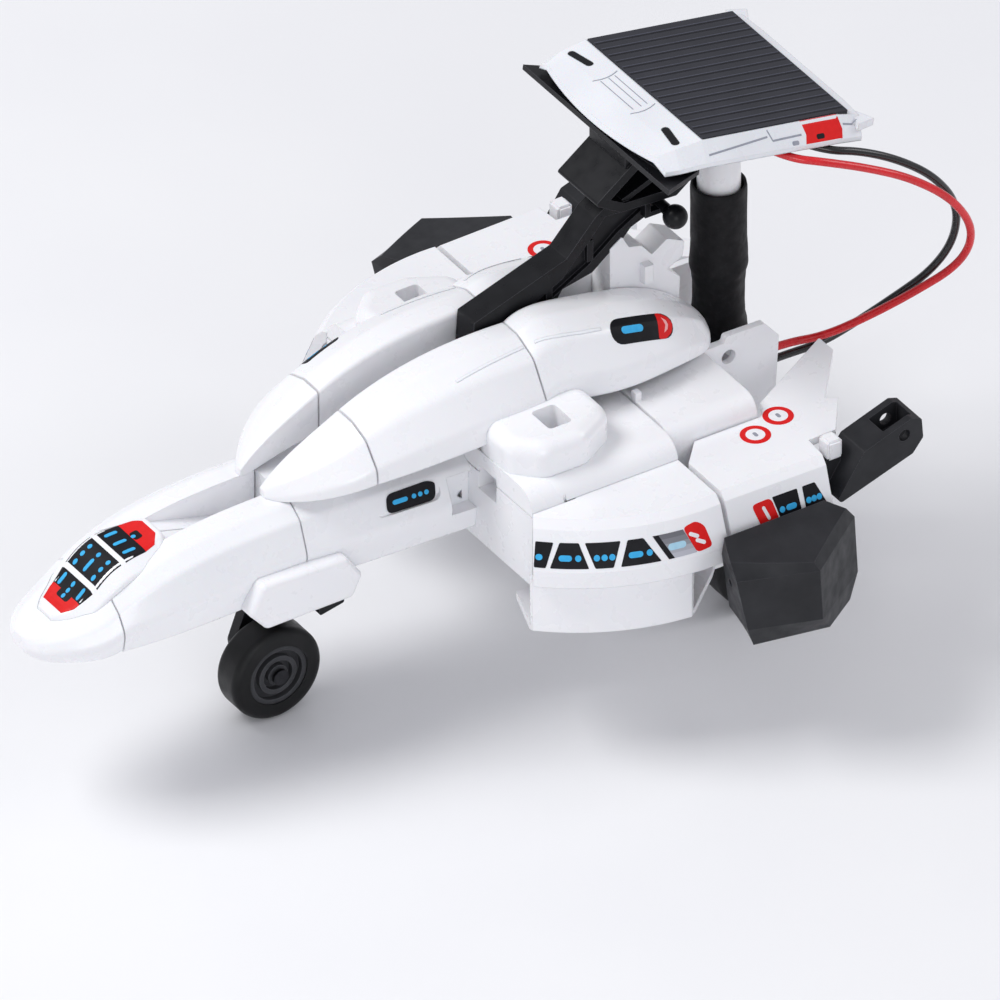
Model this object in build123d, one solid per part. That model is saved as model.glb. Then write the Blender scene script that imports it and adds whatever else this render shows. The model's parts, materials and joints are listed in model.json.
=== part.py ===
from build123d import *
from math import cos, pi, radians, sin, tan
import os

# Solar robot kit in its shuttle build. Millimetres, +Z up, nose towards -Y, port side at +X.
# The pieces are drawn on a setting-out grid; save() puts them down with the origin on the floor,
# under the middle of the model.

# ---- driving dimensions -------------------------------------------------------------------------
WALL = 1.5              # moulded shell thickness
GAP = 0.35              # clearance between pieces of different moving bodies
TIP_Y = -91.0           # nose tip
NOSE_SEAM_Y = -75.0     # nose cone to front hull
HULL_SEAM_Y = -34.0     # front hull to side hull
TORSO_Y = 4.0           # front face of the torso
REAR_SEAM_Y = 38.0      # torso to rear block
BLOCK_END_Y = 59.0      # back of the rear block
HULL_LOW_Z = 39.0       # underside of the hull
HULL_TOP_Z = 57.0       # top of the hull
HULL_HALF = 15.0        # half width of the hull
TORSO_HALF = 37.0       # half width of the torso
TORSO_TOP_Z = 60.0
TORSO_LOW_Z = 38.6
SOCKET_X = (21.2, 28.0)     # the open socket in an elbow joint, across and along
SOCKET_Y = (13.8, 19.2)
BLOCK_OUT_X = 33.0      # outer side of a rear block
BLOCK_LOW_Z = 47.0
BLOCK_TOP_Z = 60.2
PLATE_HOLE_Y = 65.0     # accessory hole through the rear plates
PLATE_HOLE_Z = 56.6
PLATE_HOLE_R = 1.6
SHELL_IN_X = 3.4        # inner side of the two long upper shells
SHELL_OUT_X = 20.0
SHELL_TOP_Z = 77.0

FLOOR_Z = 2.0           # height of the floor on the setting-out grid
SHIFT_Y = -0.943        # moves the middle of the model's length to the origin
WHEEL_R = 10.2
HUB_Z = FLOOR_Z + WHEEL_R
WHEEL_W = 7.4
HUB_R = 6.6             # disc inside the tyre
HUB_RECESS = 1.4        # depth of the troughs between the hub's rings
NOSE_WHEEL_Y = -33.5
AXLE_Y = 67.0
REAR_WHEEL_X = 20.0     # middle of a rear wheel
AXLE_R = 1.0
RUN = 0.05              # radial running clearance of the shafts

MODULE = 0.5            # gear module
GEARBOX_HALF = 12.0

COLUMN_Y = 71.5         # battery column
CELL_R = 5.0            # small rechargeable cell
CELL_LENGTH = 30.0
SLEEVE_R = 5.7
SLEEVE_LOW_Z = 51.0
SLEEVE_TOP_Z = 88.0
CAP_R = 4.35            # the white plug and post above the cell
CAP_TOP_Z = 104.4

PANEL_Y = 71.0          # middle of the solar cell
PANEL_Z = 113.0
PANEL_PITCH = 10.0      # the panel falls this many degrees towards the tail
CELL_HALF_X = 20.5
CELL_HALF_Y = 17.2
TILT_Y = 47.0           # tilt hinge of the panel
TILT_Z = 109.4

WING_X = 5.0            # centre of the front wing rim
WING_Y = 35.0
WING_R = 50.5
WING_TOP_Z = 56.0
WING_LIP_Z = 43.0
WING_LOW_Z = 30.0
REAR_RIM_X = 55.2       # outer edge of the rear wing plate

BOOSTER_Y = 46.0        # pivot pin of a booster, across
BOOSTER_Z = 38.6
BOOSTER_IN_X = 56.0     # inner face of a booster, just outside the rim
TAIL_Y = 58.0           # pivot pin of a tail arm, across
TAIL_Z = 48.8
TAIL_HOLE_Y = 79.4      # accessory hole through a tail arm
TAIL_HOLE_Z = 56.2
TAIL_HOLE_R = 1.3
PIN_R = 1.5

WIRE_D = 1.65
CLIP_Y = 75.0           # where the wires enter the terminal block


# ---- helpers ------------------------------------------------------------------------------------
def block(x0, x1, y0, y1, z0, z1):
    corner = Location((x0, y0, z0))
    return corner * Box(x1 - x0, y1 - y0, z1 - z0, align=(Align.MIN, Align.MIN, Align.MIN))


def cyl_x(x0, x1, y, z, radius):
    return extrude(Plane.YZ.offset(x0) * Pos(y, z) * Circle(radius), amount=x1 - x0)


def cyl_y(y0, y1, x, z, radius):
    return Location((x, y0, z), (-90, 0, 0)) * Cylinder(
        radius, y1 - y0, align=(Align.CENTER, Align.CENTER, Align.MIN))


def cyl_z(z0, z1, x, y, radius):
    return Location((x, y, z0)) * Cylinder(
        radius, z1 - z0, align=(Align.CENTER, Align.CENTER, Align.MIN))


def side_prism(x0, x1, outline, radius=0.0):
    """A (y, z) outline pushed along X from x0 to x1."""
    points = [(x0, y, z) for y, z in outline]
    wire = FilletPolyline(*points, radius=radius, close=True)
    return extrude(make_face(wire), amount=x1 - x0, dir=(1, 0, 0))


def plan_prism(z0, z1, outline, radius=0.0):
    """An (x, y) outline pushed along Z from z0 to z1."""
    points = [(x, y, z0) for x, y in outline]
    wire = FilletPolyline(*points, radius=radius, close=True)
    return extrude(make_face(wire), amount=z1 - z0, dir=(0, 0, 1))


def ring_face(y, outline, radii):
    """A rounded (x, z) outline in the plane at y, each radius no larger than its edges allow."""
    points = [Vector(x, y, z) for x, z in outline]
    fitted = []
    for i, corner in enumerate(points):
        back = corner - points[i - 1]
        ahead = points[(i + 1) % len(points)] - corner
        turn = radians(back.get_angle(ahead))
        largest = 0.45 * min(back.length, ahead.length) / tan(turn / 2)
        fitted.append(min(radii[i], largest))
    return make_face(FilletPolyline(*points, radius=fitted, close=True))


def flat_face(z, outline):
    """A sharp-cornered (x, y) outline at height z."""
    return make_face(Polyline(*[(x, y, z) for x, y in outline], close=True))


def mirrored(shape):
    return mirror(shape, about=Plane.YZ)


def save(shape, node):
    set_down = Location((0, SHIFT_Y, -FLOOR_Z))
    export_step(set_down * shape, "parts/" + node + ".step")


def save_pair(shape, node):
    """The port piece and its starboard mirror image."""
    save(shape, node + "_left")
    save(mirrored(shape), node + "_right")


# ---- nose and front hull ------------------------------------------------------------------------
def nose_section(y, half, z0, z1):
    """The hull's outline on both sides: a narrow top, sloping shoulders and a rounded belly."""
    height = z1 - z0
    slope = 0.42 * half
    side = [(half - 1.0, z0), (half, z0 + 0.45 * height), (half - 0.42 * slope, z1 - 0.2 * height),
            (half - slope, z1)]
    outline = side + [(-x, z) for x, z in reversed(side)]
    radii = [0.16 * half, 0.3 * half, 0.2 * half, 0.25 * half]
    return ring_face(y, outline, radii + radii[::-1])


NOSE_SECTIONS = [(TIP_Y, 2.6, 39.0, 41.8), (-90.2, 5.0, 38.4, 42.6), (-87.6, 8.2, 38.0, 43.8),
                 (-82.5, 11.4, 37.8, 45.4), (NOSE_SEAM_Y - 0.15, 13.4, HULL_LOW_Z - 0.4, 49.4)]


def nose_cone():
    outer = loft([nose_section(*s) for s in NOSE_SECTIONS])
    inner = loft([nose_section(y + 0.1, h - WALL, z0 + WALL, z1 - WALL)
                  for y, h, z0, z1 in NOSE_SECTIONS[2:]])
    return outer - inner - canopy_seat()


CANOPY_SECTIONS = [(-85.2, 3.4, 45.2), (-83.2, 5.6, 46.2), (-80.6, 7.2, 47.4), (-78.0, 7.8, 49.6),
                   (-75.4, 8.2, 52.0), (-72.4, 8.4, 53.9), (-68.0, 8.2, 54.9), (-62.5, 6.6, 55.6),
                   (-59.6, 4.4, 55.6)]


def canopy_face(y, half, top, low):
    outline = [(-half, low), (half, low), (half, top - 2.2), (half * 0.62, top),
               (-half * 0.62, top), (-half, top - 2.2)]
    return ring_face(y, outline, [0.3, 0.3, 1.1, 1.5, 1.5, 1.1])


def canopy_blank(grow):
    faces = []
    for y, half, top in CANOPY_SECTIONS:
        shift = -grow if y == CANOPY_SECTIONS[0][0] else 0
        shift = grow if y == CANOPY_SECTIONS[-1][0] else shift
        faces.append(canopy_face(y + shift, half + grow, top + grow, 41.0 + 0.12 * (y + 86)))
    return loft(faces)


def canopy():
    return canopy_blank(0)


def canopy_seat():
    return canopy_blank(0.02)


HULL_SECTIONS = [(NOSE_SEAM_Y + 0.15, 13.4, HULL_LOW_Z - 0.4, 49.6), (-62.0, 14.6, 38.8, 54.6),
                 (-48.0, HULL_HALF, 39.4, 56.6), (HULL_SEAM_Y - 0.15, HULL_HALF, 40.2, HULL_TOP_Z)]


def hull_face(y, inner, outer, z0, z1):
    height = z1 - z0
    slope = 0.42 * (outer - inner)
    outline = [(inner, z0), (outer - 1.0, z0), (outer, z0 + 0.45 * height),
               (outer - 0.42 * slope, z1 - 2.4), (outer - slope, z1), (inner, z1)]
    return ring_face(y, outline, [0.4, 1.2, 4.0, 2.0, 3.0, 0.4])


def front_hull():
    outer = loft([hull_face(y, 0.15, half, z0, z1) for y, half, z0, z1 in HULL_SECTIONS])
    inner = loft([hull_face(y, 5.4, half - WALL, z0 + WALL, z1 - WALL)
                  for y, half, z0, z1 in [(-73.2, 12.9, 38.8, 50.0), *HULL_SECTIONS[1:3],
                                          (HULL_SEAM_Y - 1.6, HULL_HALF, 40.2, HULL_TOP_Z)]])
    groove = side_prism(-1, 3.9, [(-61.8, 55.0), (-40.0, 49.0), (HULL_SEAM_Y + 1, 48.2),
                                  (HULL_SEAM_Y + 1, 60), (-61.8, 60)])
    return outer - inner - groove - canopy_seat() - fairing_blank()


def side_hull():
    y0 = HULL_SEAM_Y + 0.15
    faces = [hull_face(y0, 0.15, HULL_HALF, 40.2, HULL_TOP_Z),
             hull_face(-16.0, 0.15, 16.2, 40.4, HULL_TOP_Z),
             hull_face(TORSO_Y, 0.15, 17.4, 40.8, HULL_TOP_Z)]
    hollow = [hull_face(y0 + WALL, 5.4, HULL_HALF - WALL, 41.7, HULL_TOP_Z - WALL),
              hull_face(-16.0, 5.4, 13.0, 41.9, HULL_TOP_Z - WALL),
              hull_face(TORSO_Y - WALL, 5.4, 14.2, 42.3, HULL_TOP_Z - WALL)]
    window = block(14.9, 20, -17.8, -3.4, 50.2, 56.0)
    window = fillet(window.edges().filter_by(Axis.X), 1.6)
    notch = block(14.0, 20, -1.6, TORSO_Y + 1, 46.0, 53.5)
    return loft(faces) - loft(hollow) - window - notch - fairing_blank()


# ---- nose gear ----------------------------------------------------------------------------------
FAIRING = [(-49.0, 40.4), (-45.0, 35.8), (-25.0, 36.0), (-22.8, 40.7), (-26.5, 46.0), (-46.0, 46.6)]


def fairing_blank():
    return side_prism(-18.0, 18.0, FAIRING, 1.4)


def nose_gear_fairing():
    body = fairing_blank()
    body = fillet(body.faces().sort_by(Axis.X)[-1].edges(), 1.2)
    body = fillet(body.faces().sort_by(Axis.X)[0].edges(), 1.2)
    pocket = block(-8.2, 8.2, -42.0, -27.0, 35.0, 43.0)
    return body - pocket - nose_strut_bar()


def nose_strut_bar():
    return block(-8.2, 8.2, -27.0, -24.4, 35.0, 40.0)


def nose_fork():
    arm = side_prism(-8.0, -5.6, [(-37.0, 9.4), (-30.0, 9.4), (-24.4, 24.0), (-24.4, 40.0),
                                  (-29.0, 40.0), (-38.0, 16.0)], 2.0)
    bridge = side_prism(-8.0, 8.0, [(-26.8, 26.4), (-21.0, 27.6), (-21.4, 33.6), (-24.6, 35.6),
                                    (-24.6, 40.0), (-26.8, 40.0)], 0.5)
    boss = cyl_x(-9.2, -4.6, NOSE_WHEEL_Y, HUB_Z, 3.0)
    bore = cyl_x(-20, 20, NOSE_WHEEL_Y, HUB_Z, AXLE_R)
    return arm + bridge + boss - bore


def nose_axle():
    head = cyl_x(WHEEL_W / 2 + 0.3, WHEEL_W / 2 + 0.9, NOSE_WHEEL_Y, HUB_Z, 1.7)
    return cyl_x(-9.6, WHEEL_W / 2 + 0.4, NOSE_WHEEL_Y, HUB_Z, AXLE_R) + head


def wheel_hub(x_mid, y, bore_r):
    """A moulded wheel disc with two raised rings and a boss on each side."""
    half = WHEEL_W / 2
    hub = cyl_x(x_mid - half + 0.3, x_mid + half - 0.3, y, HUB_Z, HUB_R)
    for side in (-1, 1):
        face = x_mid + side * (half - 0.3)
        depth = face - side * HUB_RECESS
        for r_in, r_out in ((2.2, 3.3), (4.3, 5.6)):
            trough = cyl_x(min(face, depth), max(face, depth), y, HUB_Z, r_out)
            trough -= cyl_x(min(face, depth) - 1, max(face, depth) + 1, y, HUB_Z, r_in)
            hub -= trough
    return hub - cyl_x(x_mid - half - 1, x_mid + half + 1, y, HUB_Z, bore_r)


def wheel_tyre(x_mid, y):
    half = WHEEL_W / 2
    tyre = cyl_x(x_mid - half, x_mid + half, y, HUB_Z, WHEEL_R)
    tyre = fillet(tyre.edges(), 1.5)
    return tyre - cyl_x(x_mid - half - 1, x_mid + half + 1, y, HUB_Z, HUB_R)


# ---- upper shells -------------------------------------------------------------------------------
def shell_face(y, inner, outer, z0, z1):
    """A half-dome: upright on the inside, well rounded outside."""
    width = outer - inner
    height = z1 - z0
    outline = [(inner, z0), (outer, z0), (outer - 0.02 * width, z0 + 0.36 * height),
               (outer - 0.3 * width, z1 - 0.16 * height), (inner + 0.36 * width, z1), (inner, z1)]
    small = 0.08 * min(width, height)
    big = 0.26 * min(width, height)
    return ring_face(y, outline, [small, small, big, big, big, small])


def shoulder_cap():
    tip = [(-37.6, SHELL_IN_X, 5.4, 56.6, 58.6), (-33.5, SHELL_IN_X, 10.8, 57.6, 62.4),
           (-28.0, SHELL_IN_X, 15.2, 59.0, 65.9), (-19.7, SHELL_IN_X, 18.0, 60.4, 70.3)]
    cap = loft([shell_face(*s) for s in tip])
    return cap - block(0, 30, -40, -10, 50, HULL_TOP_Z)


MID_SHELL = [(-19.3, 18.0, 60.4, 70.5), (-10.0, 19.2, 60.9, 74.2), (-1.0, SHELL_OUT_X, 61.6, 76.2),
             (18.3, SHELL_OUT_X, 62.2, SHELL_TOP_Z)]
REAR_SHELL = [(18.7, SHELL_OUT_X, 62.2, SHELL_TOP_Z), (38.0, SHELL_OUT_X, 62.8, 76.6),
              (48.0, 19.0, 62.6, 74.0), (56.5, 16.4, 61.4, 69.6), (61.4, 12.6, 60.4, 65.4),
              (63.4, 9.0, 60.6, 63.2)]


def shell_blank(stations):
    return loft([shell_face(y, SHELL_IN_X, x, z0, z1) for y, x, z0, z1 in stations])


def upper_shell(stations, bore_end):
    outer = shell_blank(stations)
    hollow_stations = stations[:bore_end]
    first, last = hollow_stations[0], hollow_stations[-1]
    hollow = [(first[0] + WALL, *first[1:]), *hollow_stations[1:-1], (last[0] - WALL, *last[1:])]
    inner = loft([shell_face(y, SHELL_IN_X + WALL, x - WALL, z0 - 1, z1 - WALL)
                  for y, x, z0, z1 in hollow])
    return outer - inner


# ---- torso --------------------------------------------------------------------------------------
def torso_block():
    body = block(-TORSO_HALF, TORSO_HALF, TORSO_Y, REAR_SEAM_Y, TORSO_LOW_Z, TORSO_TOP_Z)
    body = fillet(body.edges().filter_by(Axis.Y).sort_by(Axis.Z)[-2:], 5.0)
    for side in (-1, 1):
        inner, outer = sorted((side * 28.0, side * 40.0))
        body -= block(inner, outer, TORSO_Y + 8.0, REAR_SEAM_Y + 1, 30, WING_TOP_Z + 0.05)
        seam = sorted((side * 36.4, side * 38.0))
        body -= block(*seam, TORSO_Y + 7.4, TORSO_Y + 8.0, 50, 62)
        slot = sorted((side * 17.6, side * 24.0))
        body -= block(*slot, TORSO_Y - 1, TORSO_Y + 3.5, 51.0, 56.5)
    body -= block(-40, 40, TORSO_Y - 1, TORSO_Y + 0.5, 54.7, 55.1)
    body -= block(-GEARBOX_HALF + 1, GEARBOX_HALF - 1, TORSO_Y + 6, REAR_SEAM_Y + 1, 30, 52)
    return body


def elbow_joint():
    """The oval joint that lies on the torso beside the shell, with its open socket."""
    oval = plan_prism(TORSO_TOP_Z, 67.2, [(14.6, 4.2), (27.4, 4.2), (33.0, 9.6), (33.0, 19.0),
                                          (28.0, 28.0), (16.0, 28.0)], 4.6)
    oval = fillet(oval.faces().sort_by(Axis.Z)[-1].edges(), 3.0)
    socket = block(*SOCKET_X, *SOCKET_Y, TORSO_TOP_Z + 0.8, 70)
    socket = fillet(socket.edges().filter_by(Axis.Z), 0.9)
    return oval - socket - shell_blank(MID_SHELL) - shell_blank(REAR_SHELL)


def rear_block():
    """A block behind the torso, with a small lip beside the shell."""
    body = block(8.0, BLOCK_OUT_X, REAR_SEAM_Y + 0.4, BLOCK_END_Y, BLOCK_LOW_Z, BLOCK_TOP_Z)
    body = fillet(body.edges().filter_by(Axis.Y).sort_by(Axis.X)[-2:], 4.0)
    lip = block(19.4, 21.0, REAR_SEAM_Y + 0.4, REAR_SEAM_Y + 1.8, BLOCK_TOP_Z - 0.5, BLOCK_TOP_Z + 1.9)
    return body + lip


def rear_plates():
    """The two upright plates behind the blocks that close over the gearbox."""
    plate = side_prism(12.05, 13.6, [(BLOCK_END_Y, BLOCK_LOW_Z), (62.0, 43.0), (76.0, 43.0),
                                     (76.8, 57.4), (73.4, 61.4), (64.4, 61.6),
                                     (64.0, BLOCK_TOP_Z), (BLOCK_END_Y, BLOCK_TOP_Z)], 0.6)
    plate -= cyl_x(5, 20, PLATE_HOLE_Y, PLATE_HOLE_Z, PLATE_HOLE_R)
    foot = block(8.2, 12.05, BLOCK_END_Y, BLOCK_END_Y + 3.0, 47.2, 59.0)
    plate = plate + foot
    return Compound([plate.solid(), mirrored(plate).solid()])


def neck_block():
    """The white block between the shells, with hooked ends, that the spine arm sits on."""
    body = side_prism(-3.2, 3.2, [(REAR_SEAM_Y + 1.5, BLOCK_TOP_Z), (60.0, BLOCK_TOP_Z),
                                  (60.4, 71.5), (57.4, 74.4), (61.0, 76.2), (61.4, 79.6),
                                  (57.4, 81.6), (53.8, 79.2), (51.4, 82.2), (48.4, 83.0),
                                  (46.8, 86.0), (44.0, 84.0), (42.5, 77.0),
                                  (REAR_SEAM_Y + 1.5, 76.0)], 0.4)
    pegs = block(-5.0, 5.0, 51.0, 53.0, 74.0, 78.2)
    in_front_of_arm = block(-8, 8, 30, 44, 70, 90)
    return body + pegs - spine_arm_blank() - in_front_of_arm


# ---- spine arm and panel bracket ----------------------------------------------------------------
SPINE = [(12.0, 71.0), (12.5, 78.2), (34.0, 85.4), (40.6, 92.6), (44.0, 95.0), (57.0, 94.2),
         (56.0, 90.0), (49.0, 87.4), (47.0, 85.2), (44.0, 83.2), (40.0, 80.0), (33.0, 78.6),
         (30.0, 74.0), (14.0, 69.6)]


def spine_arm_blank():
    return side_prism(-3.0, 3.0, SPINE, 0.4)


def spine_arm():
    """The long arm, with a recess and two ribs on each side."""
    arm = spine_arm_blank()
    for side in (-1, 1):
        near, far = sorted((side * 2.0, side * 4.0))
        recess = side_prism(near, far, [(16.0, 72.4), (33.0, 81.0), (40.0, 88.4), (43.0, 92.0),
                                        (53.0, 91.4), (46.0, 87.4), (39.0, 82.0), (30.0, 77.0)])
        arm -= recess
        for y, z in ((30.0, 80.6), (39.5, 86.4)):
            arm += block(*sorted((side * 1.8, side * 3.0)), y - 0.7, y + 0.7, z - 3.6, z + 1.2)
    return arm


BRACKET = [(38.0, 98.7), (48.6, 106.6), (64.0, 104.4), (66.0, 101.0), (57.0, 94.2), (44.0, 95.0)]


def bracket_blank():
    return side_prism(-7.0, 7.0, BRACKET, 0.6)


def panel_bracket():
    """A box bracket, open on each side behind its slanted front face, with crossed ribs."""
    body = bracket_blank()
    inside = [(41.6, 98.8), (49.0, 104.4), (62.4, 102.6), (56.4, 96.2), (45.0, 96.8)]
    for side in (-1, 1):
        body -= side_prism(*sorted((side * 2.0, side * 8.0)), inside)
        near, far = sorted((side * 2.0, side * 6.4))
        body += side_prism(near, far, [(49.2, 104.6), (50.4, 104.6), (55.6, 96.0), (54.4, 96.0)])
        body += side_prism(near, far, [(44.6, 97.4), (45.2, 96.4), (60.4, 102.4), (59.8, 103.2)])
    ears = block(-6.4, 6.4, TILT_Y - 1.6, TILT_Y + 1.6, 104.6, TILT_Z)
    ears += cyl_x(-6.4, 6.4, TILT_Y, TILT_Z, 1.8)
    ears -= block(-3.4, 3.4, TILT_Y - 4, TILT_Y + 4, 106.8, TILT_Z + 4)
    return body + ears - cyl_x(-9, 9, TILT_Y, TILT_Z, 0.8)


def tilt_pin():
    return cyl_x(-6.6, 6.6, TILT_Y, TILT_Z, 0.8)


def pivot_knob():
    """Ball-headed pin with an L-shaped catch, plugged into the side of the arm."""
    ball = Location((9.6, 55.0, 91.4)) * Sphere(2.5)
    stem = cyl_x(2.0, 9.6, 55.0, 91.4, 1.2)
    catch = block(4.2, 6.0, 50.4, 51.6, 90.6, 94.2) + block(4.2, 6.0, 50.4, 56.0, 90.6, 91.6)
    return ball + stem + catch - bracket_blank() - spine_arm()


# ---- battery column -----------------------------------------------------------------------------
def battery_sleeve():
    profile = [(0, SLEEVE_LOW_Z), (SLEEVE_R, SLEEVE_LOW_Z), (SLEEVE_R, 66.0), (SLEEVE_R - 0.25, 70.0),
               (SLEEVE_R, 74.0), (SLEEVE_R, SLEEVE_TOP_Z), (0, SLEEVE_TOP_Z)]
    wire = Polyline(*[(r, 0, z) for r, z in profile], close=True)
    body = revolve(make_face(wire), axis=Axis.Z)
    body = Location((0, COLUMN_Y, 0)) * body
    return body - cyl_z(SLEEVE_LOW_Z + 1.5, 90, 0, COLUMN_Y, CELL_R + 0.1)


def battery_cell():
    low = SLEEVE_LOW_Z + 1.6
    can = cyl_z(low, low + CELL_LENGTH, 0, COLUMN_Y, CELL_R)
    button = cyl_z(low + CELL_LENGTH, low + CELL_LENGTH + 0.8, 0, COLUMN_Y, 2.0)
    return can + button


def battery_cap():
    plug = cyl_z(SLEEVE_LOW_Z + CELL_LENGTH + 2.6, SLEEVE_TOP_Z, 0, COLUMN_Y, CAP_R)
    post = cyl_z(SLEEVE_TOP_Z, CAP_TOP_Z, 0, COLUMN_Y, CAP_R)
    post = fillet(post.edges().sort_by(Axis.Z)[-1], 0.4)
    return plug + post


# ---- solar panel --------------------------------------------------------------------------------
PANEL = Location((0, PANEL_Y, PANEL_Z), (-PANEL_PITCH, 0, 0))


def panel_outline(half, front, rear, bow):
    """The bowed outline of the tray or frame in the panel's own plane."""
    start = (-half, front)
    edge = ThreePointArc(start, (0, front - bow), (half, front))
    side = Line((half, front), (half + 0.6, rear))
    back = ThreePointArc((half + 0.6, rear), (0, rear + bow * 0.5), (-half - 0.6, rear))
    other = Line((-half - 0.6, rear), start)
    return make_face([edge, side, back, other])


def panel_tray():
    tray = extrude(Pos(0, 0, -6.6) * panel_outline(20.0, -24.6, 18.0, 2.0), amount=4.6)
    corners = Polygon((-26, -27.6), (26, -27.6), (21, -17), (-21, -17), align=None)
    tray += extrude(Pos(0, 0, -7.4) * corners, amount=1.1)
    tray = PANEL * tray - panel_frame() - solar_cell()
    knuckle = block(-3.1, 3.1, TILT_Y - 1.2, TILT_Y + 1.6, TILT_Z - 0.6, TILT_Z + 3.4)
    knuckle += cyl_x(-3.1, 3.1, TILT_Y, TILT_Z, 1.8)
    ear_room = block(-7.0, -3.1, TILT_Y - 3, TILT_Y + 3, 100, TILT_Z + 2.2)
    tray = tray - ear_room - mirrored(ear_room) + knuckle - cyl_x(-5, 5, TILT_Y, TILT_Z, 0.8 + RUN)
    return tray.solids().sort_by(SortBy.VOLUME)[-1]


def frame_section(v, half, drop, crown):
    """Across the panel: flat in the middle with drooping side strips."""
    outline = [(-half, -drop - 1.0), (-half, -drop), (-half + 2.8, crown), (half - 2.8, crown),
               (half, -drop), (half, -drop - 1.0), (half - 3.2, crown - 1.5), (-half + 3.2, crown - 1.5)]
    points = [(x, v, z) for x, z in outline]
    return make_face(Polyline(*points, close=True))


FRAME_STATIONS = [(-29.4, 21.6, 5.0, -3.4), (-23.4, 23.2, 4.0, -1.0), (-17.6, 23.6, 3.4, 0.3),
                  (0.0, 23.8, 3.4, 0.3), (14.0, 23.8, 3.6, 0.3), (20.4, 23.4, 4.2, -0.8)]


def panel_frame():
    frame = loft([frame_section(*s) for s in FRAME_STATIONS], ruled=True)
    keep = extrude(Pos(0, 0, -9) * panel_outline(23.6, -26.0, 19.4, 3.0), amount=12)
    frame = frame & keep
    frame -= extrude(Pos(0, 0, -3) * Rectangle(2 * CELL_HALF_X + 0.1, 2 * CELL_HALF_Y + 0.1), amount=4)
    for x in (-16.0, 16.0):
        slot = Pos(x, -21.6, -3) * Rot(0, 0, -10 * x / 16) * SlotOverall(6.6, 1.7)
        frame -= extrude(slot, amount=5)
    tail = [(19.0, 19.0), (23.7, 18.0), (22.6, 22.4), (19.0, 20.4)]
    for side in (-1, 1):
        points = [(side * x, y) for x, y in tail]
        frame += extrude(Pos(0, 0, -2.6) * make_face(Polyline(*points, close=True)), amount=1.6)
    return PANEL * frame


def solar_cell():
    plate = Pos(0, 0, -1.3) * Box(2 * CELL_HALF_X, 2 * CELL_HALF_Y, 1.9,
                                  align=(Align.CENTER, Align.CENTER, Align.MIN))
    return PANEL * plate


# ---- wings --------------------------------------------------------------------------------------
RIM = [(-25.0, 0.0), (-5.0, 0.0), (-3.4, -1.6), (-0.4, -9.6), (0.0, -13.0), (-1.6, -13.0),
       (-2.0, -10.6), (-5.2, -3.0), (-6.6, -1.6), (-25.0, -1.6)]


def rim_points(radius):
    return [(radius + r, 0, WING_TOP_Z + z) for r, z in RIM]


def wing_upper_front():
    """A quarter of the saucer rim: flat top, slanted band and a short upright lip."""
    ring = revolve(make_face(Polyline(*rim_points(WING_R), close=True)), axis=Axis.Z)
    ring = Location((WING_X, WING_Y, 0)) * ring
    keep = plan_prism(30, 60, [(TORSO_HALF + 0.05, TORSO_Y), (44.0, -0.4), (60.0, 8.0), (60.0, 37.9),
                               (28.4, 37.9), (28.4, 14.0), (TORSO_HALF + 0.05, 14.0)])
    return ring & keep


def wing_upper_rear():
    outline = [(REAR_RIM_X + r, z + WING_TOP_Z) for r, z in RIM]
    points = [(x, 39.0, z) for x, z in outline]
    plate = extrude(make_face(Polyline(*points, close=True)), amount=50, dir=(0.02, 1, 0))
    keep = plan_prism(30, 60, [(33.4, 44.0), (39.0, 39.0), (60.0, 39.0), (60.0, 60.8), (54.8, 62.2),
                               (45.2, 63.0), (45.0, 69.4), (36.0, 76.0), (29.6, 63.0),
                               (33.4, 59.4)])
    tip = plan_prism(WING_TOP_Z - 1.6, WING_TOP_Z, [(29.4, 62.0), (36.0, 60.0), (40.0, 60.0),
                                                    (38.0, 71.0), (22.0, 84.0), (17.0, 84.0)], 0.3)
    return (plate & keep) + tip


def wing_lower():
    """The lower half of the saucer, a slightly smaller ring under the lip, open on top."""
    profile = [(-30.0, WING_LOW_Z), (-4.0, WING_LOW_Z), (-1.6, WING_LOW_Z + 1.4), (-2.4, WING_LIP_Z),
               (-4.0, WING_LIP_Z), (-3.4, WING_LOW_Z + 1.6), (-30.0, WING_LOW_Z + 1.6)]
    points = [(WING_R + r, 0, z) for r, z in profile]
    ring = revolve(make_face(Polyline(*points, close=True)), axis=Axis.Z)
    ring = Location((WING_X, WING_Y, 0)) * ring
    keep = plan_prism(30, 60, [(28.0, 6.0), (44.0, 0.5), (60.0, 8.0), (60.0, 26.0), (52.6, 31.0),
                               (43.0, 42.0), (28.0, 56.0)])
    web = block(28.0, 30.0, 14.0, 54.0, WING_LOW_Z, WING_TOP_Z - 1.6)
    post = block(38.0, 41.0, 40.6, 54.0, WING_LOW_Z, WING_TOP_Z - 1.6)
    return (ring & keep) + web + post + wing_pivots() - torso_room() - rear_block_room()


def torso_room():
    return block(0, 28.0, -10, 60, 30, 70) + block(0, TORSO_HALF, 0, 12.0, TORSO_LOW_Z, 70)


def rear_block_room():
    return block(0, BLOCK_OUT_X, REAR_SEAM_Y, 62, BLOCK_LOW_Z, 70)


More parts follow.
